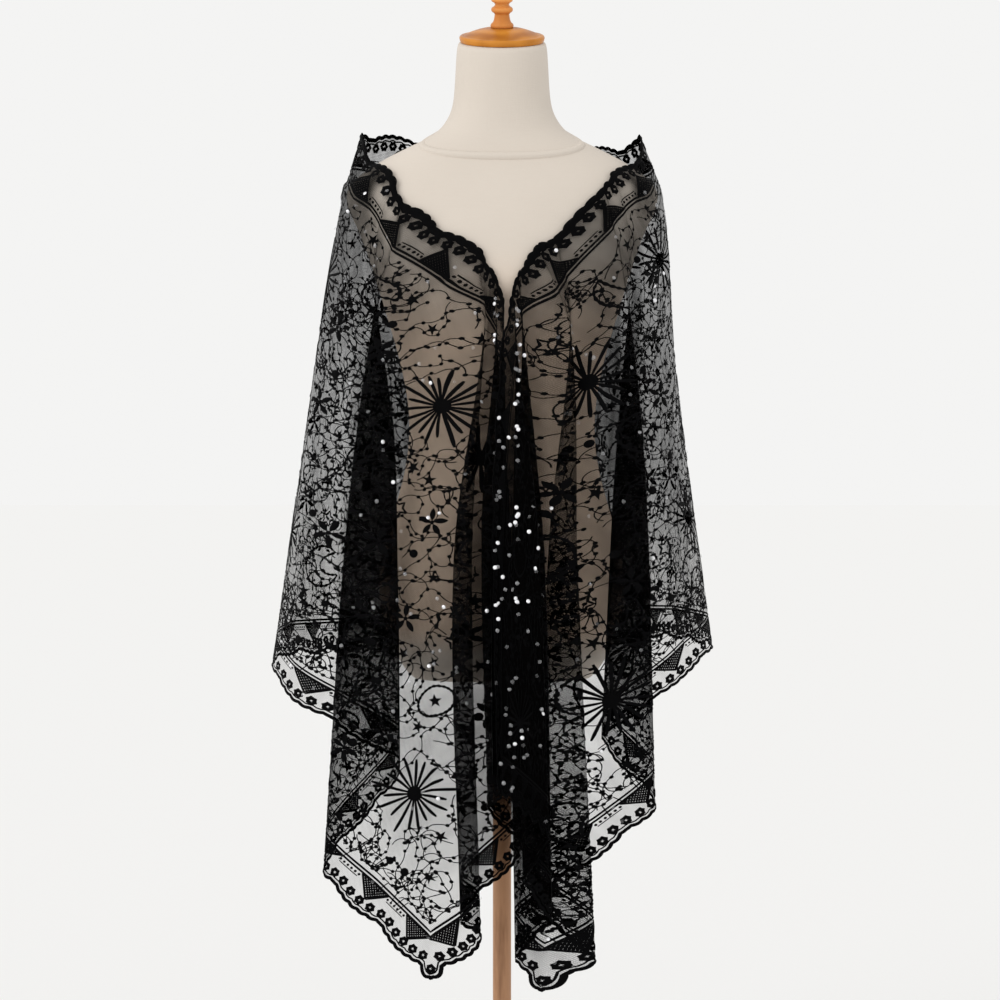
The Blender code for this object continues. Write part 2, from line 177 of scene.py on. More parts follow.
def add_node(tree, kind, sockets, **settings):
    """A node's outputs; each of its sockets gets a link or a value."""
    node = tree.nodes.new(kind)
    for label, value in settings.items():
        setattr(node, label, value)
    for label, value in sockets.items():
        if isinstance(value, bpy.types.NodeSocket):
            tree.links.new(value, node.inputs[label])
        else:
            node.inputs[label].default_value = value
    return node.outputs


def math_node(tree, kind, *values):
    return add_node(tree, "ShaderNodeMath", dict(enumerate(values)), operation=kind)[0]


def stretched(tree, vector, scale, turn=(0.0, 0.0, 0.0)):
    """The vector turned and scaled by fixed amounts."""
    sockets = {"Vector": vector, "Rotation": turn, "Scale": scale}
    return add_node(tree, "ShaderNodeMapping", sockets)["Vector"]


def noise(tree, vector, scale, detail=2.0):
    sockets = {"Vector": vector, "Scale": scale, "Detail": detail}
    return add_node(tree, "ShaderNodeTexNoise", sockets)["Fac"]


print("group helpers ready")

# %% Blotches and linen weave
THREAD_STRETCH = 0.06
blotch, given, gives = new_group("soft_blotches", {"Scale": 9.0}, ["Shade"])
blotch.links.new(noise(blotch, given["Vector"], given["Scale"], 3.0), gives["Shade"])

# Noise that is drawn out along an axis gives the threads that run that way
weave, given, gives = new_group("linen_weave", {"Threads": 900.0}, ["Height", "Slub"])
warp, weft = (noise(weave, stretched(weave, given["Vector"], scale), given["Threads"])
              for scale in ((1.0, 1.0, THREAD_STRETCH), (THREAD_STRETCH, THREAD_STRETCH, 1.0)))
weave.links.new(math_node(weave, "ADD", warp, weft), gives["Height"])
weave.links.new(math_node(weave, "MULTIPLY", warp, weft), gives["Slub"])
print("groups:", blotch.name, weave.name)

# %% Wood grain
GRAIN_STRETCH, PORE_STRETCH, PORE_SCALE = 0.13, 0.05, 420.0
RING_SHARE, BROAD_SHARE, MIDDLE_TONE = 0.45, 0.55, 0.5
grain, given, gives = new_group("wood_grain", {"Scale": 26.0, "Contrast": 1.0}, ["Tone", "Height"])
drawn_out = stretched(grain, given["Vector"], (1.0, 1.0, GRAIN_STRETCH))
broad = noise(grain, drawn_out, given["Scale"], 4.0)
sockets = {"Vector": drawn_out, "Scale": 14.0, "Distortion": 6.0, "Detail": 3.0}
year_rings = add_node(grain, "ShaderNodeTexWave", sockets, wave_type="RINGS", rings_direction="Z")
broad_part = math_node(grain, "MULTIPLY", broad, BROAD_SHARE)
tone = math_node(grain, "MULTIPLY_ADD", year_rings["Fac"], RING_SHARE, broad_part)
off_middle = math_node(grain, "SUBTRACT", tone, MIDDLE_TONE)
stronger = math_node(grain, "MULTIPLY", off_middle, given["Contrast"])
pores = noise(grain, stretched(grain, given["Vector"], (1.0, 1.0, PORE_STRETCH)), PORE_SCALE)
grain.links.new(math_node(grain, "ADD", stronger, MIDDLE_TONE), gives["Tone"])
grain.links.new(pores, gives["Height"])
print("group:", grain.name)

# %% Tulle mesh and satin twist
tulle, given, gives = new_group("tulle_mesh", {"Cells": 620.0, "Thread": 0.16}, ["Mask"])
sockets = {"Vector": given["Vector"], "Scale": given["Cells"], "Randomness": 0.45}
cells = add_node(tulle, "ShaderNodeTexVoronoi", sockets, feature="DISTANCE_TO_EDGE",
                 voronoi_dimensions="2D")
sockets = {"Value": cells["Distance"], "From Max": given["Thread"], "To Min": 1.0, "To Max": 0.0}
near_thread = add_node(tulle, "ShaderNodeMapRange", sockets)
tulle.links.new(near_thread["Result"], gives["Mask"])

twist, given, gives = new_group("satin_twist", {"Strands": 900.0}, ["Height"])
sockets = {"Vector": given["Vector"], "Scale": given["Strands"], "Distortion": 0.6}
strands = add_node(twist, "ShaderNodeTexWave", sockets, bands_direction="DIAGONAL")
twist.links.new(strands["Fac"], gives["Height"])
print("groups:", tulle.name, twist.name)

# %% [markdown]
# ## The finishes
# Linen is matt and cream with faint patches. Where the shawl hangs before it, a second,
# warmer and lighter pair of tones fades in by height: painted warm light. The turned
# wood is honey coloured under lacquer. The finial is paler than the cap, and the pole
# is brown with a lively grain, its lighter tone raised as a painted highlight. The net
# is nearly black and mostly holes, so its Alpha carries the look: where the drape
# gathers more cloth, the holes close up.
# The thread is black satin and the sequins are clear discs, a share of them drawn opaque and pale
# as painted glints.

# %% Material helpers
def use_group(material, group, vector, **values):
    """A shared effect's outputs, with this material's own values."""
    sockets = {"Vector": vector, **values}
    return add_node(material.node_tree, "ShaderNodeGroup", sockets, node_tree=group)


def feed(material, label, socket):
    """Links a socket to the material's Principled shader."""
    tree = material.node_tree
    tree.links.new(socket, tree.nodes["Principled BSDF"].inputs[label])


def blend(material, mask, dark, light):
    """A colour that goes from dark to light with the mask."""
    sockets = {"Factor": mask, "A": dark, "B": light}
    return add_node(material.node_tree, "ShaderNodeMix", sockets, data_type="RGBA")["Result"]


def two_tones(material, mask, dark, light):
    return blend(material, mask, (*dark, 1.0), (*light, 1.0))


def bump(material, height, strength, distance):
    sockets = {"Height": height, "Strength": strength, "Distance": distance}
    feed(material, "Normal", add_node(material.node_tree, "ShaderNodeBump", sockets)["Normal"])


def coordinates(material, kind="Object"):
    return add_node(material.node_tree, "ShaderNodeTexCoord", {})[kind]


def point_value(material, name):
    """A value that the mesh holds for each of its points."""
    return add_node(material.node_tree, "ShaderNodeAttribute", {}, attribute_name=name)["Fac"]


print("material helpers ready")

# %% Linen
LINEN_TONES = (0.60, 0.535, 0.465), (0.69, 0.62, 0.545)
# Painted warm light: where the shawl hangs before the linen, the linen is drawn warmer and lighter
PAINTED_WARM_LIGHT_TONES = (0.72, 0.56, 0.43), (0.86, 0.67, 0.52)
# Heights in metres of the painted warm light: none above the first and none below the last
PAINTED_WARM_LIGHT_BAND = (1.24, 1.10, 0.79, 0.745)
SLUB_SHARE = 0.5
linen = plain_material("cream_linen", LINEN_TONES[1], 0.88,
                       {"Specular IOR Level": 0.2, "Sheen Weight": 0.08})
tree = linen.node_tree
patches = use_group(linen, blotch, coordinates(linen), Scale=7.0)
threads = use_group(linen, weave, coordinates(linen), Threads=950.0)
shade = math_node(tree, "MULTIPLY_ADD", threads["Slub"], SLUB_SHARE, patches["Shade"])
level = add_node(tree, "ShaderNodeSeparateXYZ", {"Vector": coordinates(linen)})["Z"]
fades = []
for none_at, full_at in (PAINTED_WARM_LIGHT_BAND[:2], PAINTED_WARM_LIGHT_BAND[:1:-1]):
    sockets = {"Value": level, "From Min": none_at, "From Max": full_at}
    fade = add_node(tree, "ShaderNodeMapRange", sockets, interpolation_type="SMOOTHSTEP")
    fades.append(fade["Result"])
# How much of the painted warm light each height gets
painted_warm_light = math_node(tree, "MULTIPLY", *fades)
tones = [two_tones(linen, shade, *pair) for pair in (LINEN_TONES, PAINTED_WARM_LIGHT_TONES)]
feed(linen, "Base Color", blend(linen, painted_warm_light, *tones))
bump(linen, threads["Height"], 0.35, 0.0004)
print("finish:", linen.name)

# %% Lacquered woods
LACQUER = {"Specular IOR Level": 0.14, "Coat Weight": 0.03, "Coat Roughness": 0.12}
ROUGH_MEAN, ROUGH_LEAST, ROUGH_SPAN = 0.34, 0.24, 0.22
FIGURE_SCALE = 26.0
PLANK_TURN = (0.0, math.radians(84.0), 0.0)
HONEY_TONES = (0.37, 0.118, 0.012), (0.66, 0.26, 0.036)
PALE_TONES = (0.50, 0.17, 0.03), (0.86, 0.36, 0.10)
# The lighter brown is raised above the wood's own tone for the pole's highlight: real grain with a
# painted highlight, shared by the foot
BROWN_AND_HIGHLIGHT_TONES = (0.11, 0.042, 0.017), (0.42, 0.225, 0.122)


def lacquered_wood(name, tones, contrast, figure_scale=FIGURE_SCALE, grain_turn=(0.0, 0.0, 0.0)):
    """Turned wood; its grain runs along Z, or where grain_turn takes it."""
    material = plain_material(name, tones[1], ROUGH_MEAN, LACQUER)
    tree = material.node_tree
    along_grain = stretched(tree, coordinates(material), (1.0, 1.0, 1.0), grain_turn)
    figure = use_group(material, grain, along_grain, Scale=figure_scale, Contrast=contrast)
    feed(material, "Base Color", two_tones(material, figure["Tone"], *tones))
    dull = use_group(material, blotch, coordinates(material), Scale=30.0)
    rough = math_node(tree, "MULTIPLY_ADD", dull["Shade"], ROUGH_SPAN, ROUGH_LEAST)
    feed(material, "Roughness", rough)
    bump(material, figure["Height"], 0.12, 0.0003)
    return material


honey_wood = lacquered_wood("honey_wood", HONEY_TONES, 1.6)
pale_wood = lacquered_wood("pale_honey_wood", PALE_TONES, 1.6)
# Strong, fine streaks on the pole: partly real grain, partly a painted highlight
pole_wood = lacquered_wood("brown_wood", BROWN_AND_HIGHLIGHT_TONES, 2.6, 150.0)
foot_wood = lacquered_wood("brown_plank_wood", BROWN_AND_HIGHLIGHT_TONES, 0.8, grain_turn=PLANK_TURN)
print("finishes:", honey_wood.name, pale_wood.name, pole_wood.name, foot_wood.name)

# %% Net, thread and sequins
NET_HOLE_ALPHA, NET_THREAD_ALPHA = 0.12, 0.46
THREAD_TONES = (0.0004, 0.0004, 0.0005), (0.0018, 0.0018, 0.0022)
DISC_TONES = (0.78, 0.78, 0.82), (0.95, 0.95, 0.96)
net_black = plain_material("black_tulle", (0.0009, 0.0008, 0.0008), 0.8,
                           {"Specular IOR Level": 0.01})
tree = net_black.node_tree
pattern = use_group(net_black, tulle, coordinates(net_black, "UV"), Cells=620.0, Thread=0.16)
sockets = {"Value": pattern["Mask"], "To Min": 1.0 - NET_HOLE_ALPHA,
           "To Max": 1.0 - NET_THREAD_ALPHA}
clear_share = add_node(tree, "ShaderNodeMapRange", sockets)["Result"]
# Each layer more lets through the same share of what is left
clear_share = math_node(tree, "POWER", clear_share, point_value(net_black, "gather"))
feed(net_black, "Alpha", math_node(tree, "SUBTRACT", 1.0, clear_share))
bump(net_black, pattern["Mask"], 0.3, 0.0002)

satin_black = plain_material("black_satin_thread", (0.001, 0.001, 0.001), 0.5,
                             {"Specular IOR Level": 0.03})
twisted = use_group(satin_black, twist, coordinates(satin_black, "UV"), Strands=900.0)
feed(satin_black, "Base Color", two_tones(satin_black, twisted["Height"], *THREAD_TONES))
bump(satin_black, twisted["Height"], 0.5, 0.0003)

# Pale and opaque where the attribute is 1, as painted glints; nearly clear elsewhere
clear_disc = plain_material("clear_sequin", (0.86, 0.87, 0.90), 0.16, {"Metallic": 0.35})
lustre = use_group(clear_disc, blotch, coordinates(clear_disc, "UV"), Scale=260.0)
feed(clear_disc, "Base Color", two_tones(clear_disc, lustre["Shade"], *DISC_TONES))
feed(clear_disc, "Alpha", point_value(clear_disc, "sparkle"))
print("finishes:", net_black.name, satin_black.name, clear_disc.name)

# %% [markdown]
# ## Turned wood
# The cap, the finial, the pole and the foot came off a lathe. The same idea works
# here: one vertex is extruded along the profile, and Spin turns it round the axis.
# The cap and finial then lean forward with the slanted top of the neck.

# %% A lathe for profiles
SPIN_STEPS, WELD, SMOOTH_BELOW = 96, 0.00001, math.radians(40.0)


def arc(radius, height, size, first, last, steps):
    """Profile points on a round: angles in degrees, 0 outwards and 90 up."""
    turns = np.radians(np.linspace(first, last, steps + 1))
    return [(radius + size * math.cos(a), height + size * math.sin(a)) for a in turns]


def turn_profile(name, profile, material, location=(0, 0, 0), lean=0.0):
    """Turns (radius, height) points in millimetres round the Z axis."""
    bpy.ops.object.select_all(action="DESELECT")
    bpy.ops.mesh.primitive_plane_add(size=MM, location=(0, 0, 0))
    piece = bpy.context.object
    piece.name = name
    bpy.ops.object.mode_set(mode="EDIT")
    bpy.ops.mesh.merge(type="CENTER")
    here = Vector((0.0, 0.0, 0.0))
    for place, (radius, height) in enumerate(profile):
        there = Vector((radius, 0.0, height)) * MM
        if place == 0:
            bpy.ops.transform.translate(value=there)
        else:
            bpy.ops.mesh.extrude_vertices_move(TRANSFORM_OT_translate={"value": there - here})
        here = there
    bpy.ops.mesh.select_all(action="SELECT")
    bpy.ops.mesh.spin(steps=SPIN_STEPS, angle=math.tau, center=(0, 0, 0), axis=(0, 0, 1))
    bpy.ops.mesh.select_all(action="SELECT")
    bpy.ops.mesh.remove_doubles(threshold=WELD)
    bpy.ops.mesh.normals_make_consistent(inside=False)
    bpy.ops.object.mode_set(mode="OBJECT")
    bpy.ops.object.shade_smooth_by_angle(angle=SMOOTH_BELOW)
    piece.data.materials.append(material)
    piece.location = location
    piece.rotation_euler.x = lean
    bpy.ops.object.transform_apply(location=True, rotation=True, scale=True)
    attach(piece, "root")
    print(name, len(piece.data.polygons), "faces")
    return piece

# %% Cap and finial
NECK_TOP, NECK_LEAN = Vector((0.0, -9.0, 1482.0)) * MM, math.radians(18.0)
CAP_RADIUS, CAP_RIM, CAP_DOME, FINIAL_SEAT = 51.0, 8.0, 9.0, 14.0
CAP_EDGE, DOME_REACH, DOME_POWER = CAP_RADIUS - 5.0, 0.97, 1.6
WOOD_GAP = 0.3
dome = [(FINIAL_SEAT + (CAP_EDGE - FINIAL_SEAT) * f, CAP_RIM + CAP_DOME * (1.0 - f ** DOME_POWER))
        for f in np.linspace(0.0, DOME_REACH, 16)]
cap_profile = [(0.0, CAP_RIM + CAP_DOME), *dome, (CAP_RADIUS - 4.4, CAP_RIM - 0.3),
               *arc(CAP_RADIUS - 3.0, CAP_RIM - 3.0, 3.0, 80, -10, 8),
               (CAP_RADIUS - 0.6, 2.0), (CAP_RADIUS - 1.4, WOOD_GAP), (0.0, WOOD_GAP)]
cap = turn_profile("turned_cap", cap_profile, honey_wood, NECK_TOP, NECK_LEAN)
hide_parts("neck_cap")

seat = CAP_RIM + CAP_DOME + WOOD_GAP
finial_profile = [
    (0.0, seat + 65.0), *arc(0.0, seat + 50.0, 15.0, 84, -42, 20),
    (9.2, seat + 38.6), (8.2, seat + 37.2),
    *arc(9.5, seat + 33.0, 3.5, 80, -80, 10), (8.5, seat + 27.6), (8.5, seat + 26.4),
    *arc(9.5, seat + 21.0, 3.5, 80, -80, 10), (8.8, seat + 15.6),
    (9.2, seat + 12.0), (9.9, seat + 8.6), (11.2, seat + 6.0), (13.2, seat + 4.2),
    (13.9, seat + 2.6), (13.6, seat + 0.8), (13.0, seat), (0.0, seat),
]
finial = turn_profile("turned_finial", finial_profile, pale_wood, NECK_TOP, NECK_LEAN)
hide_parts("finial")

# %% Pole and foot
POLE_RADIUS, FORM_BOTTOM = 11.0, 720.0
BASE_THICK, SOCKET_HEIGHT, SOCKET_RADIUS, BASE_RADIUS = 26.0, 24.0, 26.0, 170.0
collar = BASE_THICK + SOCKET_HEIGHT
shaft = np.linspace(FORM_BOTTOM - 20.0, collar + 20.0, 12)
pole_profile = [
    (0.0, FORM_BOTTOM - WOOD_GAP), (POLE_RADIUS - 0.6, FORM_BOTTOM - WOOD_GAP),
    (POLE_RADIUS, FORM_BOTTOM - 1.0), *[(POLE_RADIUS, height) for height in shaft],
    (POLE_RADIUS, collar + 1.0), (POLE_RADIUS - 0.6, collar + WOOD_GAP), (0.0, collar + WOOD_GAP),
]
pole = turn_profile("turned_pole", pole_profile, pole_wood)
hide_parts("pole")

base_profile = [
    (0.0, collar), (SOCKET_RADIUS - 8.0, collar),
    *arc(SOCKET_RADIUS - 8.0, collar - 8.0, 8.0, 80, 0, 10),
    (SOCKET_RADIUS - 1.0, collar - 11.0), (SOCKET_RADIUS - 5.0, collar - 14.0),
    (SOCKET_RADIUS - 7.0, collar - 18.0), (SOCKET_RADIUS - 4.0, collar - 21.0),
    (SOCKET_RADIUS + 2.0, BASE_THICK + 1.4), (SOCKET_RADIUS + 10.0, BASE_THICK),
    (110.0, BASE_THICK - 1.6), (BASE_RADIUS - 14.0, BASE_THICK - 3.4),
    *arc(BASE_RADIUS - 10.0, BASE_THICK - 14.0, 10.0, 76, 0, 10),
    (BASE_RADIUS, 4.0), *arc(BASE_RADIUS - 3.0, 3.0, 3.0, 0, -90, 4), (0.0, 0.0),
]
foot_piece = turn_profile("turned_foot", base_profile, foot_wood)
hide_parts("base")

# %% [markdown]
# ## The dress form
# A padded torso with a stretched linen cover. It has no limbs and its neck ends in a
# slanted cut. One ring is extruded upwards and resized at each tabled height, and a
# Subdivision Surface rounds it, as the padding does. The seams are cut out of the
# same surface with Bisect, and given a little thickness.

# %% The torso's table, repeated from the CAD
FORM_POWER = 2.3
# height, half width, half depth, shift back, slant in degrees
FORM_SECTIONS = [
    (1482, 54, 53, -9, 18), (1440, 56, 55, -5, 8), (1408, 58, 57, -1, 0), (1392, 64, 60, 2, 0),
    (1378, 74, 62, 4, 0), (1368, 87, 64, 5, 0), (1359, 107, 67, 6, 0), (1349, 128, 70, 6, 0),
    (1338, 149, 74, 5, 0), (1324, 170, 79, 4, 0), (1309, 185, 84, 2, 0), (1296, 188, 88, 0, 0),
    (1282, 184, 93, -1, 0), (1258, 171, 101, -3, 0), (1222, 158, 110, -6, 0),
    (1186, 147, 115, -8, 0), (1150, 136, 109, -7, 0), (1108, 123, 98, -5, 0),
    (1054, 111, 86, -2, 0), (1006, 109, 84, 0, 0),
    (958, 117, 94, 2, 0), (910, 132, 102, 5, 0), (862, 145, 110, 6, 0), (820, 148, 110, 6, 0),
    (776, 139, 104, 5, 0), (740, 122, 95, 2, 0), (720, 106, 82, 2, 0),
]
FORM_TABLE = np.array(FORM_SECTIONS[::-1], float)
FORM_SIDES = 64
print("torso sections", len(FORM_SECTIONS))

# %% Raising the torso ring by ring
TOP_INSET, BOTTOM_INSET, ROUNDINGS = 0.004, 0.006, 2
bpy.ops.object.select_all(action="DESELECT")
bpy.ops.mesh.primitive_circle_add(vertices=FORM_SIDES, radius=1.0, location=(0, 0, 0))
torso = bpy.context.object
torso.name = "linen_torso"
for vertex in torso.data.vertices:
    for axis in (0, 1):
        reach = abs(vertex.co[axis]) ** (2.0 / FORM_POWER)
        vertex.co[axis] = math.copysign(reach, vertex.co[axis])
bpy.ops.object.mode_set(mode="EDIT")
bpy.ops.mesh.select_all(action="SELECT")
# The circle is 1 m in radius and on the floor, as a section would say it in millimetres
before = (0.0, 1000.0, 1000.0, 0.0, 0.0)
for place, section in enumerate(FORM_SECTIONS[::-1]):
    height, half_width, half_depth, shift, slant = section
    move = Vector((0.0, shift - before[3], height - before[0])) * MM
    if place == 0:
        bpy.ops.transform.translate(value=move)
    else:
        bpy.ops.mesh.extrude_edges_move(TRANSFORM_OT_translate={"value": move})
    grow = (half_width / before[1], half_depth / before[2], 1.0)
    bpy.ops.transform.resize(value=grow, center_override=(0.0, shift * MM, height * MM))
    edit = bmesh.from_edit_mesh(torso.data)
    for vertex in edit.verts:
        if vertex.select:
            rise = (vertex.co.y - shift * MM) * math.tan(math.radians(slant))
            vertex.co.z = height * MM + rise
    bmesh.update_edit_mesh(torso.data)
    before = section
bpy.ops.mesh.edge_face_add()
bpy.ops.mesh.inset(thickness=TOP_INSET)
bpy.ops.mesh.select_all(action="DESELECT")
edit = bmesh.from_edit_mesh(torso.data)
for edge in edit.edges:
    edge.select_set(all(vertex.co.z < (FORM_BOTTOM + 1.0) * MM for vertex in edge.verts))
bmesh.update_edit_mesh(torso.data)
bpy.ops.mesh.edge_face_add()
bpy.ops.mesh.inset(thickness=BOTTOM_INSET)
bpy.ops.mesh.select_all(action="SELECT")
bpy.ops.mesh.normals_make_consistent(inside=False)
bpy.ops.object.mode_set(mode="OBJECT")
rounding = torso.modifiers.new("padding", "SUBSURF")
rounding.levels = rounding.render_levels = ROUNDINGS
bpy.ops.object.modifier_apply(modifier="padding")
bpy.ops.object.shade_smooth()
torso.data.materials.append(linen)
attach(torso, "root")
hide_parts("form_torso")
print("torso", len(torso.data.polygons), "faces, size", [round(n, 3) for n in torso.dimensions])

# %% Seams of the cover
SEAM_SIDES, SEAM_WIDTH, NECK_ROLL, NECK_SINK = 2, 0.9, 6.0, 5.1
SEAM_BOTTOM, BACK_SEAM_TOP, SIDE_SEAM_TOP = 725, 1470, 1290


def cover_seam(name, place, facing, thickness, keep, sink=0.0):
    """A raised seam where a plane cuts the torso; keep says which points stay."""
    bpy.ops.object.select_all(action="DESELECT")
    torso.select_set(True)
    bpy.context.view_layer.objects.active = torso
    bpy.ops.object.duplicate()
    seam = bpy.context.object
    seam.name = name
    for key in [key for key in seam.keys() if key.startswith("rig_")]:
        del seam[key]
    bpy.ops.object.mode_set(mode="EDIT")
    bpy.ops.mesh.select_all(action="SELECT")
    bpy.ops.mesh.bisect(plane_co=place, plane_no=facing, clear_inner=True, clear_outer=True)
    bpy.ops.mesh.select_all(action="DESELECT")
    edit = bmesh.from_edit_mesh(seam.data)
    for vertex in edit.verts:
        vertex.select_set(not keep(vertex.co / MM))
        vertex.co -= vertex.normal * sink * MM
    edit.select_flush(True)
    bmesh.update_edit_mesh(seam.data)
    bpy.ops.mesh.delete(type="VERT")
    bpy.ops.object.mode_set(mode="OBJECT")
    bpy.ops.object.convert(target="CURVE")
    seam.data.bevel_depth = thickness * MM
    seam.data.bevel_resolution = SEAM_SIDES
    seam.data.use_fill_caps = True
    bpy.ops.object.convert(target="MESH")
    bpy.ops.object.shade_smooth()
    seam.data.materials.clear()
    seam.data.materials.append(linen)
    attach(seam, "root")
    print(name, len(seam.data.polygons), "faces")


cover_seam("neck_seam", (0, 0, 1.374), (0, -0.48, 1.0), NECK_ROLL, lambda at: True, NECK_SINK)
cover_seam("back_seam", (0, 0, 0), (1, 0, 0), SEAM_WIDTH,
           lambda at: at.y > 0 and SEAM_BOTTOM < at.z < BACK_SEAM_TOP)
cover_seam("side_seams", (0, 0, 0), (0, 1, 0), SEAM_WIDTH,
           lambda at: abs(at.x) > 80 and SEAM_BOTTOM < at.z < SIDE_SEAM_TOP)

# %% [markdown]
# ## The shawl's drape
# The net is one rectangle, 2100 by 650 mm. In the CAD its drape is held by fold
# lines, each from the neck edge down to the hem. The same lines are used here, on a
# far finer grid, so the cloth lies on its solid's form. Each fold line also says
# which place of the flat cut its two ends come from, so anything that is worked on
# the flat cloth can be carried to where it hangs.

# %% The cut and the fold lines, repeated from the CAD
CUT_LENGTH, CUT_WIDTH = 2100.0, 650.0
HALF = CUT_LENGTH / 2
SCALLOPS_LONG, SCALLOPS_SHORT, SCALLOP_DEPTH = 29, 9, 7.0
TAB_LENGTH, TAB_RAMP = 24.0, 6.0
BEND_SHARE, BEND_RADIUS, BEND_RADIUS_TOP = 0.12, 4.2, 1.0
CLOTH_CLEARANCE = 4.6
STATIONS = np.array([0.0, 0.12, 0.45, 1.0])
# x and y at the neck edge, height there, x and y at the yoke, the middle and the
# hem, height of the hem, then the cut: s at the neck edge, s and t at the hem
CENTRE_BACK = (0, 78, 1376, 0, 104, 0, 117, 0, 122, 748, 0, 0, 650)
LEFT_FOLDS = [
    (-39, 77, 1377, -45, 109, -50, 131, -59, 142, 746, 40, 85, 650),
    (-86, 68, 1378, -92, 100, -105, 112, -118, 110, 745, 88, 170, 650),
    (-124, 50, 1379, -136, 92, -160, 117, -182, 134, 742, 130, 260, 650),
    (-152, 28, 1379, -170, 64, -200, 84, -229, 84, 743, 170, 350, 650),
    (-168, 8, 1377, -188, 28, -221, 52, -262, 64, 742, 200, 430, 650),
    (-164, -10, 1366, -190, -4, -226, 2, -276, 2, 732, 220, 510, 650),
    (-149, -34, 1337, -180, -38, -213, -44, -248, -52, 698, 260, 565, 650),
    (-130, -50, 1321, -162, -62, -176, -74, -196, -84, 670, 290, 610, 650),
    (-115, -60, 1304, -150, -70, -128, -84, -123, -92, 622, 310, 685, 650),
    (-108, -70, 1281, -139, -88, -174, -112, -201, -128, 500, 335, 870, 650),
    (-84, -84, 1265, -108, -104, -126, -128, -144, -140, 442, 360, 958, 650),
    (-46, -102, 1238, -62, -118, -76, -134, -82, -148, 382, 410, 1050, 650),
    (-21, -112, 1220, -22, -127, -37, -141, -27, -150, 426, 440, 1050, 575),
    (-12, -115, 1208, -20, -122, -53, -127, -45, -134, 446, 460, 1050, 540),
    (-7, -121, 1196, -6, -128, 7, -120, 23, -126, 533, 475, 1050, 420),
    (-3, -129, 1183, -7, -135, -21, -137, -14, -138, 574, 487, 1050, 360),
    (1, -135, 1172, 2, -142, 4, -147, 6, -148, 604, 497, 1050, 300),
    (5, -139, 1161, 0, -149, -12, -156, -11, -158, 618, 510, 1050, 0),
]
RIGHT_FOLDS = [
    (39, 77, 1376, 45, 109, 53, 131, 63, 142, 746, 40, 85, 650),
    (86, 68, 1373, 92, 100, 105, 112, 120, 110, 752, 88, 170, 650),
    (115, 52, 1367, 129, 92, 152, 115, 178, 132, 760, 130, 260, 650),
    (138, 33, 1364, 162, 64, 185, 84, 215, 86, 762, 170, 350, 650),
    (158, 10, 1368, 187, 28, 203, 50, 242, 60, 757, 200, 430, 650),
    (165, -8, 1371, 191, -4, 208, 0, 252, 0, 754, 220, 510, 650),
    (156, -36, 1338, 180, -40, 189, -48, 217, -52, 727, 260, 565, 650),
    (139, -50, 1327, 162, -64, 161, -76, 175, -86, 694, 290, 610, 650),
    (122, -60, 1317, 151, -72, 136, -85, 119, -92, 655, 310, 660, 650),
    (115, -70, 1301, 138, -91, 162, -113, 172, -128, 577, 335, 780, 650),
    (92, -86, 1275, 111, -114, 118, -124, 111, -129, 522, 360, 850, 650),
    (56, -105, 1242, 80, -116, 57, -122, 37, -125, 462, 390, 935, 650),
    (39, -112, 1228, 77, -132, 84, -136, 103, -143, 401, 420, 1010, 650),
    (27, -117, 1215, 42, -138, 48, -145, 44, -153, 369, 440, 1050, 650),
    (20, -120, 1206, 24, -139, 13, -150, 17, -158, 408, 460, 1050, 605),
    (16, -124, 1194, 26, -145, 46, -157, 54, -164, 450, 475, 1050, 545),
    (13, -128, 1184, 16, -150, 15, -163, 26, -170, 498, 487, 1050, 480),
    (11, -133, 1173, 17, -157, 38, -169, 50, -176, 545, 497, 1050, 420),
    (6, -143, 1161, -4, -165, -12, -177, -6, -184, 606, 510, 1050, 0),
]
mirrored = [row[:10] + (-row[10], -row[11], row[12]) for row in reversed(LEFT_FOLDS)]
FOLDS = np.array(mirrored + [CENTRE_BACK] + RIGHT_FOLDS, float)
FOLD_COUNT = len(FOLDS)
CENTRE = len(LEFT_FOLDS)
PLACES = np.arange(FOLD_COUNT, dtype=float)
print("fold lines", FOLD_COUNT)

# %% Smooth curves through tabled values
def smooth_curve(values, knots, cell, at):
    """Value of a smooth curve at each place; cell is the knot before the place."""
    last = len(values) - 1
    each = np.arange(len(at))

    def slope(knot):
        low, high = np.maximum(knot - 1, 0), np.minimum(knot + 1, last)
        return (values[high, each] - values[low, each]) / (knots[high, each] - knots[low, each])

    near, far = values[cell, each], values[cell + 1, each]
    width = knots[cell + 1, each] - knots[cell, each]
    f = (at - knots[cell, each]) / width
    bends = (f ** 3 - 2 * f ** 2 + f) * slope(cell) + (f ** 3 - f ** 2) * slope(cell + 1)
    return ((2 * f ** 3 - 3 * f ** 2 + 1) * near + (3 * f ** 2 - 2 * f ** 3) * far
            + width * bends)


def tabled(values, knots, at):
    """The same curve where all places share one table."""
    cell = np.clip(np.searchsorted(knots, at, side="right") - 1, 0, len(knots) - 2)
    spread = np.ones(len(at))
    return smooth_curve(np.outer(values, spread), np.outer(knots, spread), cell, at)


def on_fold(place, w):
    """Plan position of a fold line at fractions w of its drop."""
    columns = ([0, 3, 5, 7], [1, 4, 6, 8])
    return np.stack([tabled(FOLDS[place][axis], STATIONS, w) for axis in columns], axis=1)


def unit(vectors):
    return vectors / np.maximum(np.linalg.norm(vectors, axis=-1, keepdims=True), 1e-9)


back_edge = tabled(FOLDS[:, 2], PLACES, np.array([float(CENTRE)]))[0]
print("neck edge height at the middle of the back", back_edge)

# %% The grid of the hanging cloth
STEPS_PER_FOLD = 24
DROP_ROWS = 121
SHARP_TEST = np.array([0.7])
U = np.linspace(0.0, FOLD_COUNT - 1.0, (FOLD_COUNT - 1) * STEPS_PER_FOLD + 1)
W = np.linspace(0.0, 1.0, DROP_ROWS)


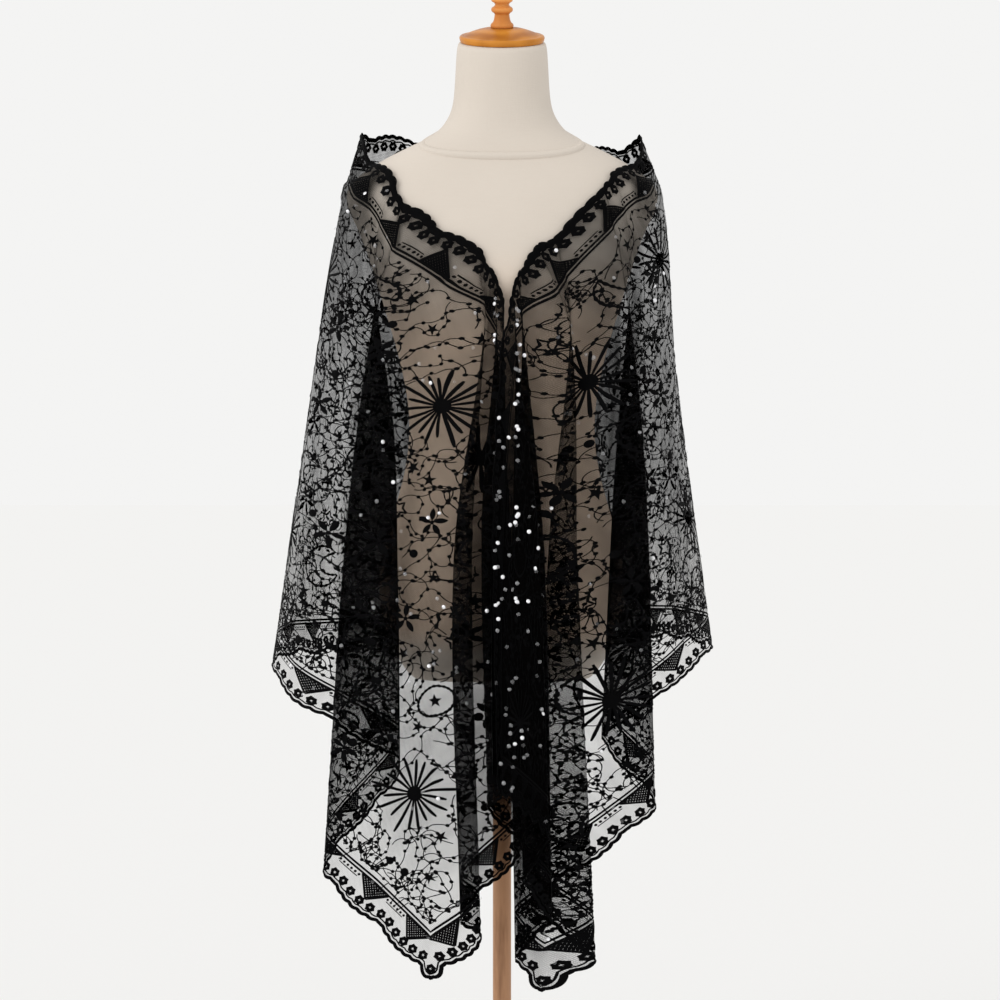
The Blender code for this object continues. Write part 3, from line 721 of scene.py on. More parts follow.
def is_sharp(place):
    """Whether the cloth turns back on itself at a fold line."""
    if not 0 < place < FOLD_COUNT - 1:
        return False
    behind, here, ahead = (on_fold(place + step, SHARP_TEST)[0] for step in (-1, 0, 1))
    return np.dot(here - behind, ahead - here) < 0.0


def line_plan(place, side):
    """Plan of a line; a sharp fold has two, either side of its round bend."""
    here = on_fold(place, W)
    if side == 0:
        return here
    way = unit(unit(here - on_fold(place - 1, W)) + unit(on_fold(place + 1, W) - here))
    opened = np.minimum(W / STATIONS[2], 1.0)[:, None]
    return here + way * side * (BEND_RADIUS_TOP + (BEND_RADIUS - BEND_RADIUS_TOP) * opened)


lines = [(place + side * BEND_SHARE, place, side) for place in range(FOLD_COUNT)
         for side in ((-1, 1) if is_sharp(place) else (0,))]
LINE_PLACES = np.array([line[0] for line in lines])
LINE_PLANS = np.array([line_plan(place, side) for _, place, side in lines])
print("lines that carry the cloth", len(lines))


def column_plan(u):
    """Plan of the cloth at one place between the lines, all the way down."""
    first = np.searchsorted(LINE_PLACES[1:], u, side="right")
    first = int(np.clip(first, 0, len(lines) - 2))
    low = max(first - 1, 0)
    plan = LINE_PLANS[low:min(first + 2, len(lines) - 1) + 1]
    gaps = np.sqrt(np.maximum(np.linalg.norm(np.diff(plan, axis=0), axis=2), 0.01))
    knots = np.vstack([np.zeros(DROP_ROWS), np.cumsum(gaps, axis=0)])
    cell = np.full(DROP_ROWS, first - low)
    f = (u - LINE_PLACES[first]) / (LINE_PLACES[first + 1] - LINE_PLACES[first])
    at = knots[first - low] * (1.0 - f) + knots[first - low + 1] * f
    return np.stack([smooth_curve(plan[:, :, axis], knots, cell, at) for axis in (0, 1)], axis=1)


plan = np.array([column_plan(u) for u in U])
top = tabled(FOLDS[:, 2], PLACES, U)
hem = np.interp(U, PLACES, FOLDS[:, 9])
heights = top[:, None] + (hem - top)[:, None] * W[None, :]
print("cloth plan", plan.shape)

# %% Resting the cloth on the torso
NECK_FOOT, PROBE, REST_ROUNDS = 1400.0, 2.0, 4


def form_reach(points):
    """Below 1 inside the torso at a point's height, above 1 outside."""
    half_width, half_depth, shift = (
        np.interp(points[..., 2], FORM_TABLE[:, 0], FORM_TABLE[:, column]) for column in (1, 2, 3))
    across = (np.abs(points[..., 0]) / half_width) ** FORM_POWER
    deep = (np.abs(points[..., 1] - shift) / half_depth) ** FORM_POWER
    return (across + deep) ** (1.0 / FORM_POWER)


def rest_on_form(points):
    """Moves the cloth out to its clearance from the torso."""
    beside = (points[..., 2] > FORM_BOTTOM) & (points[..., 2] < NECK_FOOT)
    for _ in range(REST_ROUNDS):
        slope = np.stack([(form_reach(points + move) - form_reach(points - move)) / (2 * PROBE)
                          for move in np.eye(3) * PROBE], axis=-1)
        steep = np.maximum(np.linalg.norm(slope, axis=-1, keepdims=True), 1e-6)
        short = CLOTH_CLEARANCE - (form_reach(points) - 1.0) / steep[..., 0]
        short = np.where(beside, np.maximum(short, 0.0), 0.0)
        points = points + slope / steep * short[..., None]
    return points


GRID = rest_on_form(np.concatenate([plan, heights[:, :, None]], axis=2))
print("cloth grid", GRID.shape)

# %% From the flat cut to the hanging cloth
SEARCH_ROUNDS, LEAST_T, GATHER_MOST = 30, 0.2, 4.0
S_TOP, S_HEM, T_HEM = (np.interp(U, PLACES, FOLDS[:, column]) for column in (10, 11, 12))
S_GRID = S_TOP[:, None] + (S_HEM - S_TOP)[:, None] * W[None, :]
T_GRID = T_HEM[:, None] * W[None, :]


def surface_normals(grid):
    return unit(np.cross(np.gradient(grid, axis=1), np.gradient(grid, axis=0)))


NORMALS = surface_normals(GRID)
if NORMALS[CENTRE * STEPS_PER_FOLD, DROP_ROWS // 2, 1] < 0.0:
    NORMALS = -NORMALS


def find_on_cloth(s, t):
    """Grid places (u, w) of points of the flat cut."""
    s, t = np.asarray(s, float), np.clip(np.asarray(t, float), LEAST_T, CUT_WIDTH)
    low = np.full(s.shape, float(CENTRE))
    high = np.where(s >= 0.0, FOLD_COUNT - 1.0, 0.0)
    for _ in range(SEARCH_ROUNDS):
        middle = (low + high) / 2
        w = t / np.maximum(np.interp(middle, U, T_HEM), 0.01)
        at = np.interp(middle, U, S_TOP) + np.interp(middle, U, S_HEM - S_TOP) * w
        beyond = np.abs(at) > np.abs(s)
        low, high = np.where(beyond, low, middle), np.where(beyond, middle, high)
    return low, np.clip(t / np.maximum(np.interp(low, U, T_HEM), 0.01), 0.0, 1.0)


def read_grid(grid, u, w):
    """Values of a grid between its points."""
    column = np.clip((u * STEPS_PER_FOLD).astype(int), 0, len(U) - 2)
    row = np.clip((w * (DROP_ROWS - 1)).astype(int), 0, DROP_ROWS - 2)
    fu = (u * STEPS_PER_FOLD - column)[:, None]
    fw = (w * (DROP_ROWS - 1) - row)[:, None]
    near = grid[column, row] * (1 - fw) + grid[column, row + 1] * fw
    far = grid[column + 1, row] * (1 - fw) + grid[column + 1, row + 1] * fw
    return near * (1 - fu) + far * fu


def hang(flat, lift=0.0):
    """Hanging positions in millimetres of flat points, lifted off the net's outer face."""
    u, w = find_on_cloth(flat[:, 0], flat[:, 1])
    return read_grid(GRID, u, w) + unit(read_grid(NORMALS, u, w)) * np.reshape(lift, (-1, 1))


grid_across, grid_down = (np.gradient(GRID, axis=axis) for axis in (0, 1))
draped_area = np.linalg.norm(np.cross(grid_across, grid_down), axis=2)
flat_area = np.abs(np.gradient(S_GRID, axis=0) * np.gradient(T_GRID, axis=1)
                   - np.gradient(S_GRID, axis=1) * np.gradient(T_GRID, axis=0))
GATHER = np.clip(flat_area / np.maximum(draped_area, 1e-6), 1.0, GATHER_MOST)
print("draped area %.3f of %.3f m2" % (draped_area.sum() * 1e-6, CUT_LENGTH * CUT_WIDTH * 1e-6))
print("gather from %.2f to %.2f" % (GATHER.min(), GATHER.max()))

# %% [markdown]
# ## Small creases
# Beside its big folds, thin net hangs in faint troughs that run down from where it
# is held. Each row of the table is one soft ridge on the flat cut, and the grid is
# pushed outwards along it, so it stays clear of the torso.

# %% Creases pushed into the grid
# s and t where the crease starts, s and t where it ends, width, height
CREASES = [
    (-212, 30, -430, 600, 15, 3.0), (-236, 50, -520, 560, 13, 2.6), (-262, 60, -560, 620, 14, 2.4),
    (-190, 60, -360, 590, 18, 3.0), (-150, 80, -290, 610, 20, 3.4), (-60, 60, -120, 600, 22, 3.4),
    (18, 90, 40, 610, 20, 3.0), (110, 70, 220, 600, 20, 3.4), (170, 60, 330, 600, 18, 3.0),
    (214, 40, 440, 610, 14, 2.8), (240, 60, 530, 560, 13, 2.6), (270, 60, 575, 620, 13, 2.4),
    (-345, 40, -900, 560, 13, 2.0), (-385, 50, -985, 520, 13, 2.0), (372, 50, 880, 560, 12, 1.8),
    (-300, 70, -640, 540, 10, 1.6), (300, 60, 640, 520, 10, 1.6), (-98, 150, -210, 620, 16, 2.6),
    (75, 150, 150, 620, 16, 2.6),
]
# Under 1 keeps a crease high for most of its length
CREASE_ENDS = 0.7


def crease_height(s, t):
    """How far the creases push the cloth out at points of the flat cut."""
    height = np.zeros_like(s)
    for s0, t0, s1, t1, width, rise in CREASES:
        ds, dt = s1 - s0, t1 - t0
        along = np.clip(((s - s0) * ds + (t - t0) * dt) / (ds ** 2 + dt ** 2), 0, 1)
        away = np.hypot(s - s0 - along * ds, t - t0 - along * dt)
        height += rise * np.exp(-(away / width) ** 2) * np.sin(np.pi * along) ** CREASE_ENDS
    return height


pushed = crease_height(S_GRID, T_GRID)
GRID = GRID + NORMALS * pushed[:, :, None]
creased = surface_normals(GRID)
NORMALS = creased * np.sign(np.sum(creased * NORMALS, axis=2, keepdims=True))
print("creases", len(CREASES), "highest", round(float(pushed.max()), 1), "mm")

# %% [markdown]
# ## The net
# One thin sheet for all seven stretches of the CAD cloth. Its rim follows the
# scallops, so the flat points near an edge are drawn in before they are hung. The
# UV map is the flat cut in metres, which keeps the tulle's cells at one size, and
# the attribute "gather" says how many times the cloth is folded finer than the grid.

# %% Scalloped edge of the cut
PITCH_LONG = (CUT_LENGTH - 2 * TAB_LENGTH) / SCALLOPS_LONG
PITCH_SHORT = (CUT_WIDTH - 2 * TAB_LENGTH) / SCALLOPS_SHORT
WAVELETS, WAVELET_DEPTH = 6, 2.0
TAB_ROUND = 11.0
NET_RIM = 1.2
EDGE_FADE = 60.0


def edge_cut(run, side, pitch):
    """How far the rim is cut back, by distance from the middle of a side."""
    scallop = 1.0 - np.abs(np.cos(np.pi * run / pitch))
    into_tab = np.abs(run) - (side / 2 - TAB_LENGTH)
    ramp = 1.0 - np.clip(into_tab / TAB_RAMP, 0.0, 1.0)
    wavelet = 1.0 - np.abs(np.cos(WAVELETS * np.pi * run / pitch))
    return SCALLOP_DEPTH * np.where(into_tab > 0.0, ramp, scallop) + WAVELET_DEPTH * wavelet


def round_tabs(flat):
    """Rounds the four corner tabs: points of each corner square move on to a disc."""
    s, t = flat[:, 0], flat[:, 1]
    across = TAB_ROUND - (HALF - np.abs(s))
    down = TAB_ROUND - np.minimum(t, CUT_WIDTH - t)
    reach = np.maximum(np.hypot(across, down), 1e-6)
    share = np.where((across > 0) & (down > 0), np.maximum(across, down) / reach, 1.0)
    new_s = np.sign(s) * (HALF - TAB_ROUND + across * share)
    depth = TAB_ROUND - down * share
    return np.stack([new_s, np.where(t < CUT_WIDTH / 2, depth, CUT_WIDTH - depth)], axis=1)


def draw_in(s, t):
    """Moves flat points near the four edges in to the scalloped rim."""
    def fade(depth):
        return np.clip(1.0 - depth / EDGE_FADE, 0.0, 1.0)

    long_cut = edge_cut(s, CUT_LENGTH, PITCH_LONG) + NET_RIM
    end_cut = edge_cut(t - CUT_WIDTH / 2, CUT_WIDTH, PITCH_SHORT) + NET_RIM
    new_s = s - np.sign(s) * (end_cut * fade(HALF - np.abs(s)))
    new_t = t + long_cut * (fade(t) - fade(CUT_WIDTH - t))
    return round_tabs(np.stack([new_s, new_t], axis=1))


NET_COLUMNS, NET_ROWS = 901, 97
net_u = np.linspace(0.0, FOLD_COUNT - 1.0, NET_COLUMNS)
net_w = np.linspace(0.0, 1.0, NET_ROWS)
uu, ww = (axis.ravel() for axis in np.meshgrid(net_u, net_w, indexing="ij"))
s_flat, t_flat = (read_grid(grid[:, :, None], uu, ww)[:, 0] for grid in (S_GRID, T_GRID))
net_flat = draw_in(s_flat, t_flat)
print("net points", len(net_flat))

# %% The net as one piece
def cloth_mesh(name, points, faces, flat, material, **attributes):
    """A mesh object from millimetre points, with the flat cut as its UV map."""
    mesh = bpy.data.meshes.new(name)
    mesh.from_pydata((points * MM).tolist(), [], faces)
    mesh.materials.append(material)
    corners = np.zeros(len(mesh.loops), dtype=np.int64)
    mesh.loops.foreach_get("vertex_index", corners)
    uv = mesh.uv_layers.new(name="cut")
    uv.data.foreach_set("uv", (flat[corners] * MM).astype(np.float32).ravel())
    for label, values in attributes.items():
        held = mesh.attributes.new(label, "FLOAT", "POINT")
        held.data.foreach_set("value", values.astype(np.float32))
    mesh.shade_smooth()
    piece = bpy.data.objects.new(name, mesh)
    bpy.context.scene.collection.objects.link(piece)
    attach(piece, "root")
    print(name, len(mesh.vertices), "points", len(faces), "faces")
    return piece


def grid_faces(columns, rows):
    corner = (np.arange(columns - 1)[:, None] * rows + np.arange(rows - 1)[None, :]).ravel()
    return np.stack([corner, corner + 1, corner + rows + 1, corner + rows], axis=1)


# Folds too fine for the grid: stretches between fold lines, counted from the middle
# of the back, and how many times more cloth they hold at each share of the drop
FINE_DROPS = (0.0, 0.2, 0.4, 0.6, 0.7, 0.8, 0.9, 1.0)
FINE_FOLDS = [
    (-18, -15, (4.0, 7.0, 8.0, 8.0, 8.0, 8.0, 6.0, 4.0)),
    (-14, -14, (3.0, 2.2, 2.4, 4.0, 6.0, 6.0, 5.0, 3.0)),
    (-13, -12, (2.8, 2.0, 2.3, 3.6, 3.8, 3.0, 1.6, 1.1)),
    (-11, -11, (2.8, 2.0, 2.4, 3.0, 3.2, 2.4, 1.6, 1.1)),
    (-10, -10, (1.0, 4.0, 8.0, 8.0, 7.0, 4.0, 2.8, 1.8)),
    (-9, -9, (1.0, 2.5, 6.0, 6.0, 6.0, 5.0, 3.0, 2.0)),
    (-8, -4, (4.4, 4.2, 2.3, 1.9, 1.9, 1.8, 1.6, 1.2)),
    (-3, -2, (1.6, 3.0, 7.5, 8.0, 6.0, 4.0, 2.0, 1.2)),
    (-1, 0, (1.6, 1.6, 1.6, 1.6, 1.6, 1.6, 1.4, 1.2)),
    (1, 2, (1.6, 3.0, 7.5, 8.0, 6.0, 4.0, 2.0, 1.2)),
    (3, 7, (3.8, 2.7, 2.8, 2.7, 2.4, 2.0, 1.6, 1.2)),
    (8, 8, (1.0, 3.0, 8.0, 9.0, 9.0, 7.0, 3.0, 1.5)),
    (9, 9, (1.0, 4.0, 9.0, 9.0, 9.0, 7.0, 4.0, 2.0)),
    (10, 10, (2.8, 3.4, 3.8, 3.0, 2.4, 2.3, 2.0, 1.6)),
    (11, 11, (2.8, 2.4, 2.5, 2.2, 1.8, 1.6, 1.6, 1.5)),
    (12, 13, (3.0, 2.4, 2.6, 3.0, 3.0, 3.0, 3.2, 2.6)),
    (14, 14, (3.0, 4.0, 7.0, 8.0, 8.0, 8.0, 6.0, 3.0)),
    (15, 18, (4.0, 7.0, 8.0, 9.0, 9.0, 9.0, 7.0, 4.0)),
]
FINE_BLEND = 0.35
STREAK, STREAK_WIDTHS = 0.22, (17.0, 41.0)


def fine_folds(u, w, s):
    """How many times the cloth is folded between the fold lines, over and above the grid."""
    more = np.ones_like(u)
    for first, last, times in FINE_FOLDS:
        into = np.minimum(u - (CENTRE + first), CENTRE + last + 1 - u)
        share = np.clip(into / FINE_BLEND + 0.5, 0.0, 1.0)
        more += (np.interp(w, FINE_DROPS, times) - 1.0) * share
    narrow, wide = (np.sin(math.tau * s / width) for width in STREAK_WIDTHS)
    return more * (1.0 + STREAK * narrow * wide)


gather = read_grid(GATHER[:, :, None], uu, ww)[:, 0] * fine_folds(uu, ww, s_flat)
net_points = hang(net_flat)
faces = grid_faces(NET_COLUMNS, NET_ROWS)
probe = faces[(CENTRE * NET_COLUMNS // FOLD_COUNT) * (NET_ROWS - 1) + NET_ROWS // 2]
corner, down, _, along = net_points[probe]
if np.cross(down - corner, along - corner)[1] < 0.0:
    faces = faces[:, ::-1]
net = cloth_mesh("shawl_net", net_points, faces.tolist(), net_flat, net_black, gather=gather)
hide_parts("shawl_back", "shawl_arm_left", "shawl_arm_right", "shawl_front_left",
            "shawl_front_right", "shawl_tail_left", "shawl_tail_right")

# %% [markdown]
# ## Stitches
# Satin stitch stands a little proud of the net. Every motif is drawn on the flat cut
# out of three shapes: a stroke with a ridge down its middle, a domed patch, and a
# ring, which is a closed stroke. They are gathered into one list per kind of motif
# and hung all at once. Cloth that is drawn together would squeeze a round motif, so
# each motif is first stretched by as much as the drape squeezes it.

# %% Strokes, patches and rings
# Heights over the net: where a stitch begins, its ridge, and a dome's middle
STITCH_FOOT, STITCH_HEIGHT, DOME = 0.25, 0.8, 1.0


class Stitches:
    """Stitches laid out on the flat cut, in millimetres, to be hung together."""

    def __init__(self):
        self.flat, self.lift, self.uv, self.faces, self.count = [], [], [], [], 0

    def add(self, flat, lift, uv, faces):
        self.flat.append(flat)
        self.lift.append(lift)
        self.uv.append(uv)
        self.faces.append(np.asarray(faces) + self.count)
        self.count += len(flat)

    def stroke(self, path, width, height=STITCH_HEIGHT, closed=False):
        """A raised line along flat points; width is one number or one for each point."""
        path = np.asarray(path, float)
        if closed:
            ahead = unit(np.roll(path, -1, axis=0) - np.roll(path, 1, axis=0))
        else:
            ahead = unit(np.gradient(path, axis=0))
        side = np.stack([-ahead[:, 1], ahead[:, 0]], axis=1)
        half = np.broadcast_to(np.asarray(width, float) / 2, len(path))[:, None]
        flat = np.stack([path + side * half, path, path - side * half], axis=1).reshape(-1, 2)
        lift = np.tile([STITCH_FOOT, height, STITCH_FOOT], len(path))
        steps = np.linalg.norm(np.diff(path, axis=0), axis=1)
        run = np.concatenate([[0.0], np.cumsum(steps)])
        uv = np.stack([np.repeat(run, 3), (np.array([1, 0, -1])[None, :] * half).ravel()], axis=1)
        first = np.arange(len(path) if closed else len(path) - 1) * 3
        then = (first + 3) % (3 * len(path))
        faces = [np.stack([first + row, first + row + 1, then + row + 1, then + row], axis=1)
                 for row in (0, 1)]
        self.add(flat, lift, uv, np.concatenate(faces))

    def patch(self, centre, outline, height=STITCH_HEIGHT):
        """A domed patch: an outline, run anticlockwise, raised at its centre."""
        outline = np.asarray(outline, float)
        flat = np.vstack([outline, [centre]])
        lift = np.append(np.full(len(outline), STITCH_FOOT), height)
        rim = np.arange(len(outline))
        peak = np.full(len(rim), len(rim))
        faces = np.stack([rim, np.roll(rim, -1), peak, peak], axis=1)
        self.add(flat, lift, flat - centre, faces)

    def piece(self, name, material):
        """Hangs the stitches and makes them one object."""
        flat = np.vstack(self.flat)
        # A patch's faces name their peak twice, so that all faces have four corners
        faces = [list(dict.fromkeys(face)) for face in np.vstack(self.faces).tolist()]
        points = hang(flat, np.concatenate(self.lift))
        return cloth_mesh(name, points, faces, np.vstack(self.uv), material)


def on_round(angles, radius, squash=1.0):
    return np.stack([np.cos(angles) * radius, np.sin(angles) * radius * squash], axis=1)


def circle(radius, points, squash=1.0):
    return on_round(np.arange(points) / points * math.tau, radius, squash)


print("stroke, patch and ring ready")

# %% [markdown]
# ## The border
# The same band runs round all four sides. From the rim inwards it has a thick satin
# cord, a fine line, a row of little rings, one lattice triangle in each scallop, a
# dotted ladder between the triangles, and a double line. The lines are mitred at
# the corners, where one ring fills the tab. Over the breast the rim rolls on itself,
# so its cord is made about twice as wide there, growing away from the edge.

# %% Places along the four sides
SIDES = [("neck", CUT_LENGTH, PITCH_LONG), ("end_right", CUT_WIDTH, PITCH_SHORT),
         ("hem", CUT_LENGTH, PITCH_LONG), ("end_left", CUT_WIDTH, PITCH_SHORT)]


def beside_edge(side, run, depth):
    """Flat places at a distance from the middle of a side and a depth in from it."""
    run, depth = np.broadcast_arrays(np.asarray(run, float), np.asarray(depth, float))
    if side == "neck":
        return np.stack([run, depth], axis=-1)
    if side == "end_right":
        return np.stack([HALF - depth, CUT_WIDTH / 2 + run], axis=-1)
    if side == "hem":
        return np.stack([-run, CUT_WIDTH - depth], axis=-1)
    return np.stack([-HALF + depth, CUT_WIDTH / 2 - run], axis=-1)


def border_loop(depth, step, follow=True):
    """A closed line round the cut, along the scallops or straight."""
    path = []
    for side, length, pitch in SIDES:
        reach = length / 2 - depth
        run = np.linspace(-reach, reach, int(2 * reach / step), endpoint=False)
        cut = edge_cut(run, length, pitch) if follow else 0.0
        path.append(beside_edge(side, run, depth + cut))
    path = np.vstack(path)
    return round_tabs(path) if follow else path


print("border length", round(2 * (CUT_LENGTH + CUT_WIDTH)), "mm")

# %% Cord and lines of the border
CORD_DEPTH, CORD_WIDTH, CORD_HEIGHT, CORD_STEP = 2.1, 4.3, 1.4, 1.95
FINE_DEPTH, FINE_WIDTH, FINE_HEIGHT, FINE_STEP = 7.0, 1.8, 0.6, 3.5
INNER_DEPTHS, INNER_WIDTH, INNER_STEP = (40.4, 44.4), 2.5, 7.0
# The roll at the neck edge: how much wider, how deep it reaches, and how it comes
# and goes with the distance from the middle of the back
ROLL_WIDTH, ROLL_REACH = 3.6, 12.0
ROLL_PLACES, ROLL_SHARES = (150.0, 260.0, 480.0, 540.0), (0.0, 1.0, 1.0, 0.0)
cord = Stitches()
rim = border_loop(CORD_DEPTH, CORD_STEP)
rolled = np.interp(np.abs(rim[:, 0]), ROLL_PLACES, ROLL_SHARES)
rolled = np.where(rim[:, 1] < ROLL_REACH, rolled, 0.0)
rim[:, 1] += rolled * ROLL_WIDTH / 2
cord.stroke(rim, CORD_WIDTH + rolled * ROLL_WIDTH, CORD_HEIGHT, closed=True)
cord.stroke(border_loop(FINE_DEPTH, FINE_STEP), FINE_WIDTH, FINE_HEIGHT, closed=True)
for depth in INNER_DEPTHS:
    cord.stroke(border_loop(depth, INNER_STEP, follow=False), INNER_WIDTH, closed=True)
edge_lines = cord.piece("border_cords", satin_black)

# %% Evening a motif to the drape
EVEN_LIMIT, RING_LIMIT, EVEN_MOST = 0.32, 0.65, 1.2
SAMPLE_S, SAMPLE_T = np.array([6.0, 0.0]), np.array([0.0, 3.0])
SAMPLE_EDGE, SAMPLE_TOP, SAMPLE_SHARE = 12.0, 4.0, 0.6


def hanging_metric(centre, reach):
    """Lengths and angles on the cloth where it hangs, as a 2 by 2 table."""
    around = centre + circle(reach * SAMPLE_SHARE, 8)
    around[:, 0] = np.clip(around[:, 0], -HALF + SAMPLE_EDGE, HALF - SAMPLE_EDGE)
    around[:, 1] = np.clip(around[:, 1], SAMPLE_TOP, CUT_WIDTH - SAMPLE_EDGE)
    both = np.stack([(hang(around + step) - hang(around - step)) / (2 * step.sum())
                     for step in (SAMPLE_S, SAMPLE_T)], axis=2)
    return np.median(np.transpose(both, (0, 2, 1)) @ both, axis=0)


def even_frame(centre, reach, limit=EVEN_LIMIT):
    """The stretch on the flat cut that looks round where the cloth hangs."""
    sizes, ways = np.linalg.eigh(hanging_metric(centre, reach))
    return ways @ np.diag(1.0 / np.sqrt(np.clip(sizes, limit, EVEN_MOST))) @ ways.T


print("a motif is stretched by up to", round(EVEN_LIMIT ** -0.5, 2))

# %% Rings, triangles and the dotted ladder
RING_DEPTH, RING_RADIUS, RING_WIDTH, RING_HEIGHT = 13.6, 3.4, 4.5, 0.9
RING_PETALS, PETAL_SWELL, RINGS_PER_SCALLOP = 6, 0.28, 5
TRIANGLE_BASE, TRIANGLE_HALF, TRIANGLE_TIP, TRIANGLE_WIDTH = 39.5, 20.0, 18.5, 2.4
MOST_LEAN = 0.8
LATTICE_GAP, LATTICE_WIDTH, LATTICE_HEIGHT = 3.8, 2.0, 0.6
LADDER_DEPTH, LADDER_STEP, LADDER_RADIUS, LADDER_GAP = 36.0, 4.6, 1.7, 2.0
LADDER_LINE, LADDER_WIDTH, LADDER_HEIGHT, DOT_HEIGHT = LADDER_DEPTH - 3.0, 1.2, 0.5, 0.7
TAB_DEPTH = 13.0
rings, lattice = Stitches(), Stitches()


def add_ring(centre):
    """A rosette: a round stroke with six petals and a small eye."""
    petals = 1.0 + PETAL_SWELL * np.cos(np.arange(2 * RING_PETALS) * math.pi)
    at = even_frame(centre, RING_RADIUS, RING_LIMIT)
    path = centre + circle(RING_RADIUS, 2 * RING_PETALS) @ at.T
    rings.stroke(path, RING_WIDTH * petals, RING_HEIGHT, closed=True)


def add_triangle(side, middle):
    """One lattice triangle; it leans on the cut as much as the drape would lean it back."""
    rise = TRIANGLE_BASE - TRIANGLE_TIP
    base, tip, beyond = (beside_edge(side, run, depth) for run, depth in (
        (middle, TRIANGLE_BASE), (middle, TRIANGLE_TIP), (middle + 1.0, TRIANGLE_BASE)))
    metric = hanging_metric((base + tip) / 2, rise)
    run_way = unit(beyond - base)
    lean = -(run_way @ metric @ (tip - base)) / (run_way @ metric @ run_way) / rise
    lean = float(np.clip(lean, -MOST_LEAN, MOST_LEAN))

    def leaning(run, depth):
        run, depth = np.array(run), np.array(depth)
        return beside_edge(side, middle + run + lean * (TRIANGLE_BASE - depth), depth)

    corners = leaning([-TRIANGLE_HALF, 0.0, TRIANGLE_HALF],
                      [TRIANGLE_BASE, TRIANGLE_TIP, TRIANGLE_BASE])
    for near, far in ((0, 1), (1, 2)):
        lattice.stroke(np.linspace(corners[near], corners[far], 6), TRIANGLE_WIDTH)
    for way in (-1.0, 1.0):
        offset = -TRIANGLE_HALF + LATTICE_GAP
        while offset < TRIANGLE_HALF:
            climb = (TRIANGLE_HALF + way * offset) / (TRIANGLE_HALF / rise + 1.0)
            ends = leaning([offset, offset - way * climb], [TRIANGLE_BASE, TRIANGLE_BASE - climb])
            lattice.stroke(np.linspace(ends[0], ends[1], 4), LATTICE_WIDTH, LATTICE_HEIGHT)
            offset += LATTICE_GAP


def add_ladder(side, first, last):
    """Dots in a row, with a fine line on their outer side."""
    count = max(int((last - first) / LADDER_STEP), 1)
    for run in np.linspace(first, last, count + 1):
        centre = beside_edge(side, run, LADDER_DEPTH)
        lattice.patch(centre, centre + circle(LADDER_RADIUS, 6), DOT_HEIGHT)
    line = beside_edge(side, np.linspace(first, last, 6), LADDER_LINE)
    lattice.stroke(line, LADDER_WIDTH, LADDER_HEIGHT)


for side, length, pitch in SIDES:
    reach = (SCALLOPS_LONG if length == CUT_LENGTH else SCALLOPS_SHORT) // 2
    for scallop in range(-reach, reach + 1):
        middle = scallop * pitch
        for place in range(RINGS_PER_SCALLOP):
            run = middle + (place - RINGS_PER_SCALLOP // 2) * pitch / RINGS_PER_SCALLOP
            scallop_cut = SCALLOP_DEPTH * (1.0 - abs(math.cos(math.pi * run / pitch)))
            add_ring(beside_edge(side, run, RING_DEPTH + scallop_cut))
        add_triangle(side, middle)
        if scallop < reach:
            add_ladder(side, middle + TRIANGLE_HALF + LADDER_GAP,
                       middle + pitch - TRIANGLE_HALF - LADDER_GAP)
for s_corner in (-HALF + TAB_DEPTH, HALF - TAB_DEPTH):
    for t_corner in (TAB_DEPTH, CUT_WIDTH - TAB_DEPTH):
        add_ring(np.array([s_corner, t_corner]))
border_rings = rings.piece("border_rings", satin_black)
border_lattice = lattice.piece("border_triangles", satin_black)

# %% [markdown]
# ## The field
# Sunbursts, stars, moons, leaf flowers and discs are scattered over the field in a
# layout of our own: one tile of motifs, turned and mirrored from tile to tile.
# Between them thin vines wander in loose curves and carry small knots.

# %% Motif layout
FIELD_EDGE, MOTIF_ROOM = 50.0, 0.5
TILE_COLUMNS, TILE_ROWS = 5, 2
# How far the second row is moved along, and how much each column's motifs turn on
ROW_SHIFT, COLUMN_TURN = 82.0, 37.0
TILE_S = (CUT_LENGTH - 2 * FIELD_EDGE) / TILE_COLUMNS
TILE_T = (CUT_WIDTH - 2 * FIELD_EDGE) / TILE_ROWS
# kind, place on the tile, size, turn in degrees
TILE = [
    ("sun", 355, 100, 50, 0), ("sun", 100, 115, 49, 11), ("moon", 196, 62, 25, 40),
    ("moon", 92, 214, 24, 200), ("oval", 292, 196, 22, 70), ("flower", 162, 146, 16, 10),
    ("flower", 262, 88, 15, 130), ("flower", 30, 166, 15, 60), ("flower", 196, 244, 15, 200),
    ("flower", 372, 256, 15, 300), ("flower", 348, 204, 14, 20), ("star", 142, 18, 9, 5),
    ("star", 236, 26, 9, 30), ("star", 20, 232, 9, 12), ("star", 160, 262, 8.5, 50),
    ("star", 388, 170, 9, 21), ("star", 316, 24, 8.5, 44), ("star", 226, 168, 9, 8),
    ("outline", 178, 104, 10.5, 15), ("outline", 54, 262, 10, 33), ("outline", 252, 262, 10.5, 5),
    ("outline", 388, 216, 10, 50), ("outline", 218, 122, 10, 27), ("disc", 14, 24, 5, 0),
    ("disc", 128, 178, 5, 0), ("disc", 246, 58, 4.5, 0), ("disc", 192, 200, 5, 0),
    ("disc", 336, 244, 5, 0), ("disc", 54, 178, 4.5, 0), ("disc", 288, 130, 5, 0),
    ("star", 278, 40, 8, 10), ("star", 112, 262, 8, 36), ("star", 224, 212, 8, 18),
    ("disc", 392, 22, 4.5, 0), ("star", 12, 84, 8, 24), ("disc", 152, 226, 4.5, 0),
    ("star", 40, 40, 8, 15), ("star", 300, 160, 8, 40), ("star", 298, 250, 8, 26),
    ("outline", 88, 34, 10, 22), ("star", 134, 206, 7.5, 62), ("star", 258, 228, 7.5, 14),
]
motifs = []
